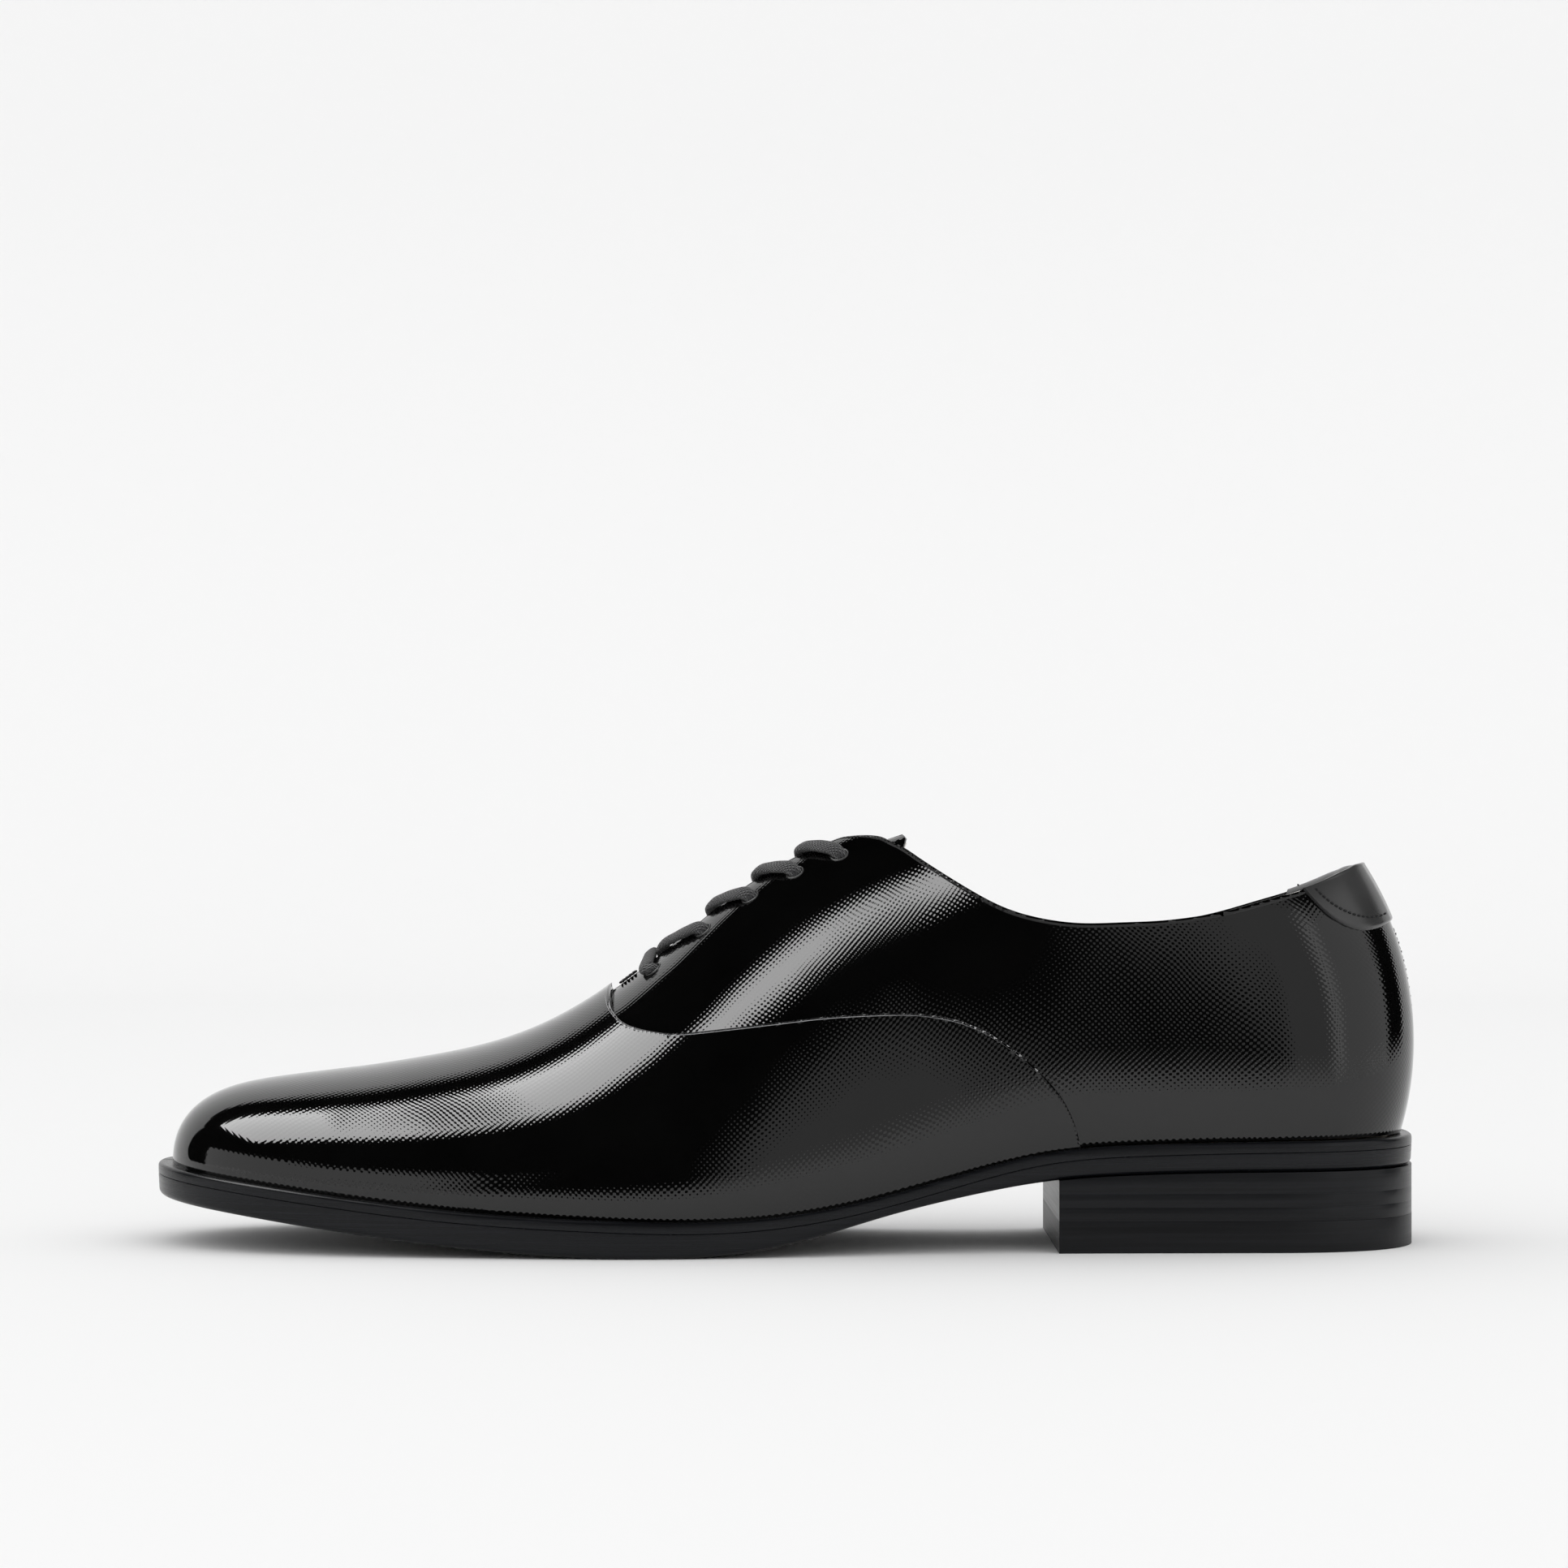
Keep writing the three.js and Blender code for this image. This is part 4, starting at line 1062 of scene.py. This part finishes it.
def make_tab_stitches():
    """The row that holds the tab; its first stitches are hidden by the rolled edge."""
    places = []
    for side in SIDES.values():
        x, z = even(TAB_STITCH_LINE, TAB_STITCHES + 1).T
        u, t = locate(x, z, side)
        p = on_last(u, t, side, np.full(u.shape, -0.42))
        n = last_normal(u, t, side)
        d = np.gradient(p, axis=0)
        places += [(p[i] + 0.1 * n[i], d[i], n[i]) for i in range(3, TAB_STITCHES)]
    stitch_row("tab_stitches", places, 0.95, 0.26, MATERIALS["thread"])


def make_back_stitches():
    """The zig-zag that closes the back seam, below the tab."""
    places = []
    for i, z in enumerate(np.arange(30.5, 76.0, 1.1)):
        t = at_height(1.0, z, -1)
        p = on_last(1.0, t, -1, np.array(QUARTER_OUT + 0.16))
        sway = 1 if i % 2 else -1
        places.append((p, np.array([0, 1.9 * sway, 1.1]), last_normal(1.0, t, -1)))
    stitch_row("back_stitches", places, 2.2, 0.24, MATERIALS["thread"])


def make_bartack():
    """The bar of thread that holds the facings together at the throat."""
    places = []
    for i in range(9):
        x = -40.6 + 0.42 * i
        u = along_u(x + 0.6)
        n = last_normal(u, np.array(1.0), -1)
        p = on_last(u, np.array(1.0), -1, np.array(QUARTER_OUT + 0.25))
        places.append((p, np.array([0.04 * (-1) ** i, 1.0, 0]), n))
    stitch_row("throat_bartack", places, 12.5, 0.34, MATERIALS["thread"])


# ---- tongue ----
def tongue_lift(x):
    s = np.clip((x - 14) / 9, 0, 1)
    return 1.9 * s * s * (3 - 2 * s)


def tongue_grid(depth, inset, side, rows=70, columns=26):
    half = Spline([(-60, 17), (-30, 19), (0, 23), (20, 24), (40, 20)])
    flank = Spline([(-60, 44), (-42, 47), (-10, 61), (10, 71), (34, 80)])
    start, end = -42.4 + inset, 26.6 - inset
    x = end - (end - start) * (1 - np.linspace(0, 1, rows)) ** 1.6
    x = np.concatenate([[start], x[x > start + 0.01]])
    corner = np.clip(((end + 0.5 - x) / 7) ** 0.5, 0.25, 1)
    u = settle(lambda u: last_point(u, np.ones(u.shape), -1)[..., 0] < x, along_u(x - 1), along_u(x + 14))
    low = np.maximum(at_width(u, (half(x) - inset) * corner, side), at_height(u, flank(x) + inset, side))
    s = np.linspace(0, 1, columns)
    grid_u = u[:, None] + 0 * s
    grid_t = low[:, None] + (1 - low)[:, None] * s
    p = on_last(grid_u, grid_t, side, np.full(grid_u.shape, depth))
    p[..., 2] += tongue_lift(p[..., 0])
    return p


def make_tongue():
    for name, top, bottom, inset, material in (
        ("tongue", TONGUE_OUT, TONGUE_OUT - LEATHER, 0.0, "upper_leather"),
        ("tongue_lining", TONGUE_OUT - LEATHER - 0.02, TONGUE_OUT - LEATHER - 1.0, 0.35, "lining_leather"),
    ):
        sheets, uvs = [], []
        across = [
            np.concatenate([tongue_grid(d, i, -1), tongue_grid(d, i, 1)[:, -2::-1]], 1)
            for d, i in ((top, inset + 0.35), ((top + bottom) / 2, inset), (bottom, inset + 0.35))
        ]
        sheets = [across[0], across[2][:, ::-1]]
        for take in (lambda g: g[:, 0], lambda g: g[:, -1], lambda g: g[-1], lambda g: g[0]):
            sheets.append(np.stack([take(g) for g in across], 1))
        uvs = [np.stack([s[..., 0] + 200, s[..., 1] + 100], -1) for s in sheets]
        obj = grids(name + "_leather", sheets, MATERIALS[material], "tongue", uvs)
        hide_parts(name)


# ---- sole and heel ----
def edge_line(u, side, out):
    foot = last_point(u, 0.0, side)
    step = 1e-4
    inner = np.clip(u, 2 * step, 1 - 2 * step)
    along = last_point(inner + step, 0.0, side) - last_point(inner - step, 0.0, side)
    along[..., 2] = 0
    along = unit(along)
    away = side * np.stack([-along[..., 1], along[..., 0], 0 * along[..., 0]], -1)
    return foot + away * np.asarray(out)[..., None]


def slab(name, levels, material, start=0.0, end=1.0, count=240, inside=False):
    """A flat layer: levels are (height at x, distance in from the sole's edge, or from the last's)."""
    u = start + (end - start) * np.linspace(0, 1, count)
    u = np.clip(u, 0.0008, 0.9992)
    out = 0 * u if inside else overhang(along_x(u))
    columns = []
    for side in (-1, 1):
        part = []
        for height, inset in levels:
            p = edge_line(u, side, out - inset)
            p[:, 2] = height(p[:, 0])
            part.append(p)
        columns += part if side < 0 else part[::-1]
    size = len(columns)
    points = np.stack(columns, 1).reshape(-1, 3)
    faces = grid_faces(count, size, ring=True)
    faces += [tuple(range(size))[::-1], tuple(range((count - 1) * size, count * size))]
    obj = build(name, points, faces, MATERIALS[material])
    weld(obj, 1e-7)
    smooth_by_angle(obj)
    return obj


def smooth_by_angle(obj, degrees=32):
    """Keeps hard edges hard under smooth shading."""
    mesh = obj.data
    work = bmesh.new()
    work.from_mesh(mesh)
    for edge in work.edges:
        if len(edge.link_faces) == 2 and edge.calc_face_angle(0) > math.radians(degrees):
            edge.smooth = False
    work.to_mesh(mesh)
    work.free()


def over(curve, rise):
    return lambda x: curve(x) + rise


def level(z):
    return lambda x: np.full(np.shape(x), float(z))


WELT_UNDER = over(seat, -WELT_THICKNESS)


def make_sole():
    foot = [(0.03, 6), (0.03, 0.14), (0.1, 0.03), (0.5, 0.0)]
    shoulder = [(0.9 * math.sin(a) - 0.9, 0.95 - 0.95 * math.cos(a)) for a in np.linspace(0, math.pi / 2, 7)]
    levels = [(over(WELT_UNDER, rise), inset) for rise, inset in foot]
    levels += [(over(seat, rise), inset) for rise, inset in shoulder + [(0.0, 4.0), (0.0, 14.0)]]
    welt = slab("welt_edge", levels, "sole_edge")
    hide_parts("welt")
    under = [(1.5 - 1.5 * math.cos(a), 1.9 - 1.7 * math.sin(a)) for a in np.linspace(0, math.pi / 2, 8)]
    top = [(-0.5, 0.03), (-0.12, 0.05), (-0.03, 0.16), (-0.03, 6)]
    levels = [(over(sole_under, rise), inset) for rise, inset in under]
    levels += [(over(WELT_UNDER, rise), inset) for rise, inset in top]
    outsole = slab("outsole_edge", levels, "sole_edge")
    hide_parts("outsole")


SOCK_LOW = 3 * GAP + LEATHER + 2 + GAP
SOCK_THICKNESS = 0.9
SOCK_INSET = -LINING_IN + 1.3
PAD_FRONT = 80.0
PAD_THICKNESS = 2.0


def make_sock():
    """The leather sock the foot stands on, and the soft pad glued on it under the heel."""
    shape = [(0.0, 0.25), (0.3, 0.02), (0.6, 0.02), (0.85, 0.2), (SOCK_THICKNESS, 0.5), (SOCK_THICKNESS, 6.0)]
    levels = [(over(seat, SOCK_LOW + rise), SOCK_INSET + inset) for rise, inset in shape]
    sock = slab("sock_leather", levels, "sock_leather", inside=True)
    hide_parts("sock_liner")
    low = SOCK_LOW + SOCK_THICKNESS + GAP

    def crowned(share):
        def height(x):
            eased = np.sqrt(np.clip((x - PAD_FRONT) / 5, 0.02, 1))
            return seat(x) + low + PAD_THICKNESS * share * eased
        return height

    shape = [(0.0, 0.5), (0.25, 0.05), (0.5, 0.15), (0.74, 0.9), (0.88, 2.4), (0.96, 5.0), (1.0, 10.0)]
    levels = [(crowned(share), SOCK_INSET + 4.1 + inset) for share, inset in shape]
    start = float(along_u(PAD_FRONT + 0.2))
    pad = slab("heel_pad_leather", levels, "sock_leather", start, 1.0, 120, inside=True)
    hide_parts("heel_pad")


def heel_block(name, low, high, inset, material, soft=0.25):
    """One layer of the heel, with its straight breast at the front."""
    start = float(along_u(HEEL_BREAST_X - 0.2))
    corner = [(0.0, soft), (soft * 0.4, soft * 0.25), (soft, 0.0)]
    levels = [(over(low, rise), inset + cut) for rise, cut in corner]
    levels += [(over(high, -rise), inset + cut) for rise, cut in reversed(corner)]
    return slab(name, levels, material, start, 1.0, 150)


def make_heel():
    lifts = 3
    top = float(np.minimum(sole_under(HEEL_BREAST_X), sole_under(80.0)))
    share = (top - TOP_LIFT) / lifts
    for i in range(lifts):
        low = level(TOP_LIFT + share * i)
        high = over(sole_under, -0.05) if i == lifts - 1 else level(TOP_LIFT + share * (i + 1) - 0.005)
        lift = heel_block("heel_lift_layer_%d" % (i + 1), low, high, 0.02, "heel_stack", 0.01)
        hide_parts("heel_lift_%d" % (i + 1))
    rubber = heel_block("top_lift_edge", level(0.0), level(TOP_LIFT - 0.02), 0.0, "top_lift_rubber", 0.1)
    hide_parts("top_lift")


# ---- studio ----
def plain_material(name, colour, rough=0.9):
    nodes = Nodes(name)
    nodes.put(nodes.shader, Base_Color=(*colour, 1), Roughness=rough, Specular_IOR_Level=0.1)
    return nodes.material


def make_floor():
    """A pale floor that curves up into the backdrop."""
    radius, near, far, high, half = 0.5, -0.9, 1.3, 1.9, 3.0
    angles = np.linspace(0, math.pi / 2, 24)
    bend = [(far + radius * math.sin(a), radius - radius * math.cos(a)) for a in angles]
    profile = [(near, 0.0), (0.0, 0.0), *bend, (far + radius, high)]
    points = [(x, y, z) for y, z in profile for x in (-half, half)]
    faces = [(2 * i, 2 * i + 1, 2 * i + 3, 2 * i + 2) for i in range(len(profile) - 1)]
    mesh = bpy.data.meshes.new("floor")
    mesh.from_pydata(points, [], faces)
    mesh.polygons.foreach_set("use_smooth", [True] * len(faces))
    mesh.materials.append(plain_material("floor_paper", (0.88, 0.88, 0.88)))
    floor = bpy.data.objects.new("floor", mesh)
    bpy.context.scene.collection.objects.link(floor)


def make_panel(name, place, aim, size, radiance):
    """A softbox of even brightness that shows in the shoe's gloss; the sky dome lights the floor."""
    data = bpy.data.lights.new(name, "AREA")
    data.shape = "RECTANGLE"
    data.size, data.size_y = size
    data.energy = radiance * math.pi * size[0] * size[1]
    light = bpy.data.objects.new(name, data)
    light.location = place
    light.rotation_euler = (Vector(aim) - Vector(place)).to_track_quat("-Z", "Y").to_euler()
    light.visible_diffuse = False
    light.visible_camera = False
    bpy.context.scene.collection.objects.link(light)
    return light


def shine_on(light, names, state):
    """Keeps a softbox on, or off, the named pieces, as a black flag does in a studio."""
    flagged = bpy.data.collections.new(light.name + "_" + state.lower())
    for name in names:
        flagged.objects.link(bpy.data.objects[name])
    for entry in flagged.collection_objects:
        entry.light_linking.link_state = state
    light.light_linking.receiver_collection = flagged


DOME_LIGHT = 1.11
DOME_GLOSS = 0.004


def make_world():
    """A dome that lights matt things evenly and is dark in reflections, as in a tented studio."""
    world = bpy.data.worlds.new("studio")
    bpy.context.scene.world = world
    world.use_nodes = True
    tree = world.node_tree
    background = tree.nodes["Background"]
    path = tree.nodes.new("ShaderNodeLightPath")
    strength = tree.nodes.new("ShaderNodeMapRange")
    strength.inputs["To Min"].default_value = DOME_LIGHT
    strength.inputs["To Max"].default_value = DOME_GLOSS
    tree.links.new(path.outputs["Is Glossy Ray"], strength.inputs[0])
    tree.links.new(strength.outputs[0], background.inputs["Strength"])
    background.inputs["Color"].default_value = (1, 1, 1, 1)


def make_lights():
    quarters = ["quarter_leather_lateral", "quarter_leather_medial", "heel_tab_leather"]
    toe_box = make_panel("toe_box", (-1.15, 0.07, 1.6), (-1.15, 0.07, 0.0), (1.3, 1.26), 7.4)
    shine_on(toe_box, quarters, "EXCLUDE")
    side_box = make_panel("side_box", (-0.52, -0.95, 1.6), (-0.52, -0.95, 0.0), (0.68, 0.6), 7.5)
    shine_on(side_box, quarters, "INCLUDE")
    make_panel("toe_wall", (-1.5, -0.95, 0.36), (0, 0, 0.36), (2.8, 0.72), 0.9)
    make_panel("heel_wall", (0.95, -1.75, 1.1), (0, 0, 0.9), (1.3, 2.4), 0.55)
    make_panel("heel_side", (1.75, -0.75, 0.9), (0.14, 0, 0.9), (1.9, 2.2), 0.9)


def main():
    make_camera()
    dress_cad()
    make_lace()
    make_vamp()
    make_vamp_edge_highlight()
    for name, side in SIDES.items():
        make_quarter(name, side)
        make_lining(name, side)
    make_vamp_lining()
    make_heel_tab()
    make_eyelet_rims()
    make_tab_stitches()
    make_back_stitches()
    make_bartack()
    make_tongue()
    make_sole()
    make_sock()
    make_heel()
    make_floor()
    make_world()
    make_lights()
    bpy.context.scene.view_settings.view_transform = "Standard"


main()
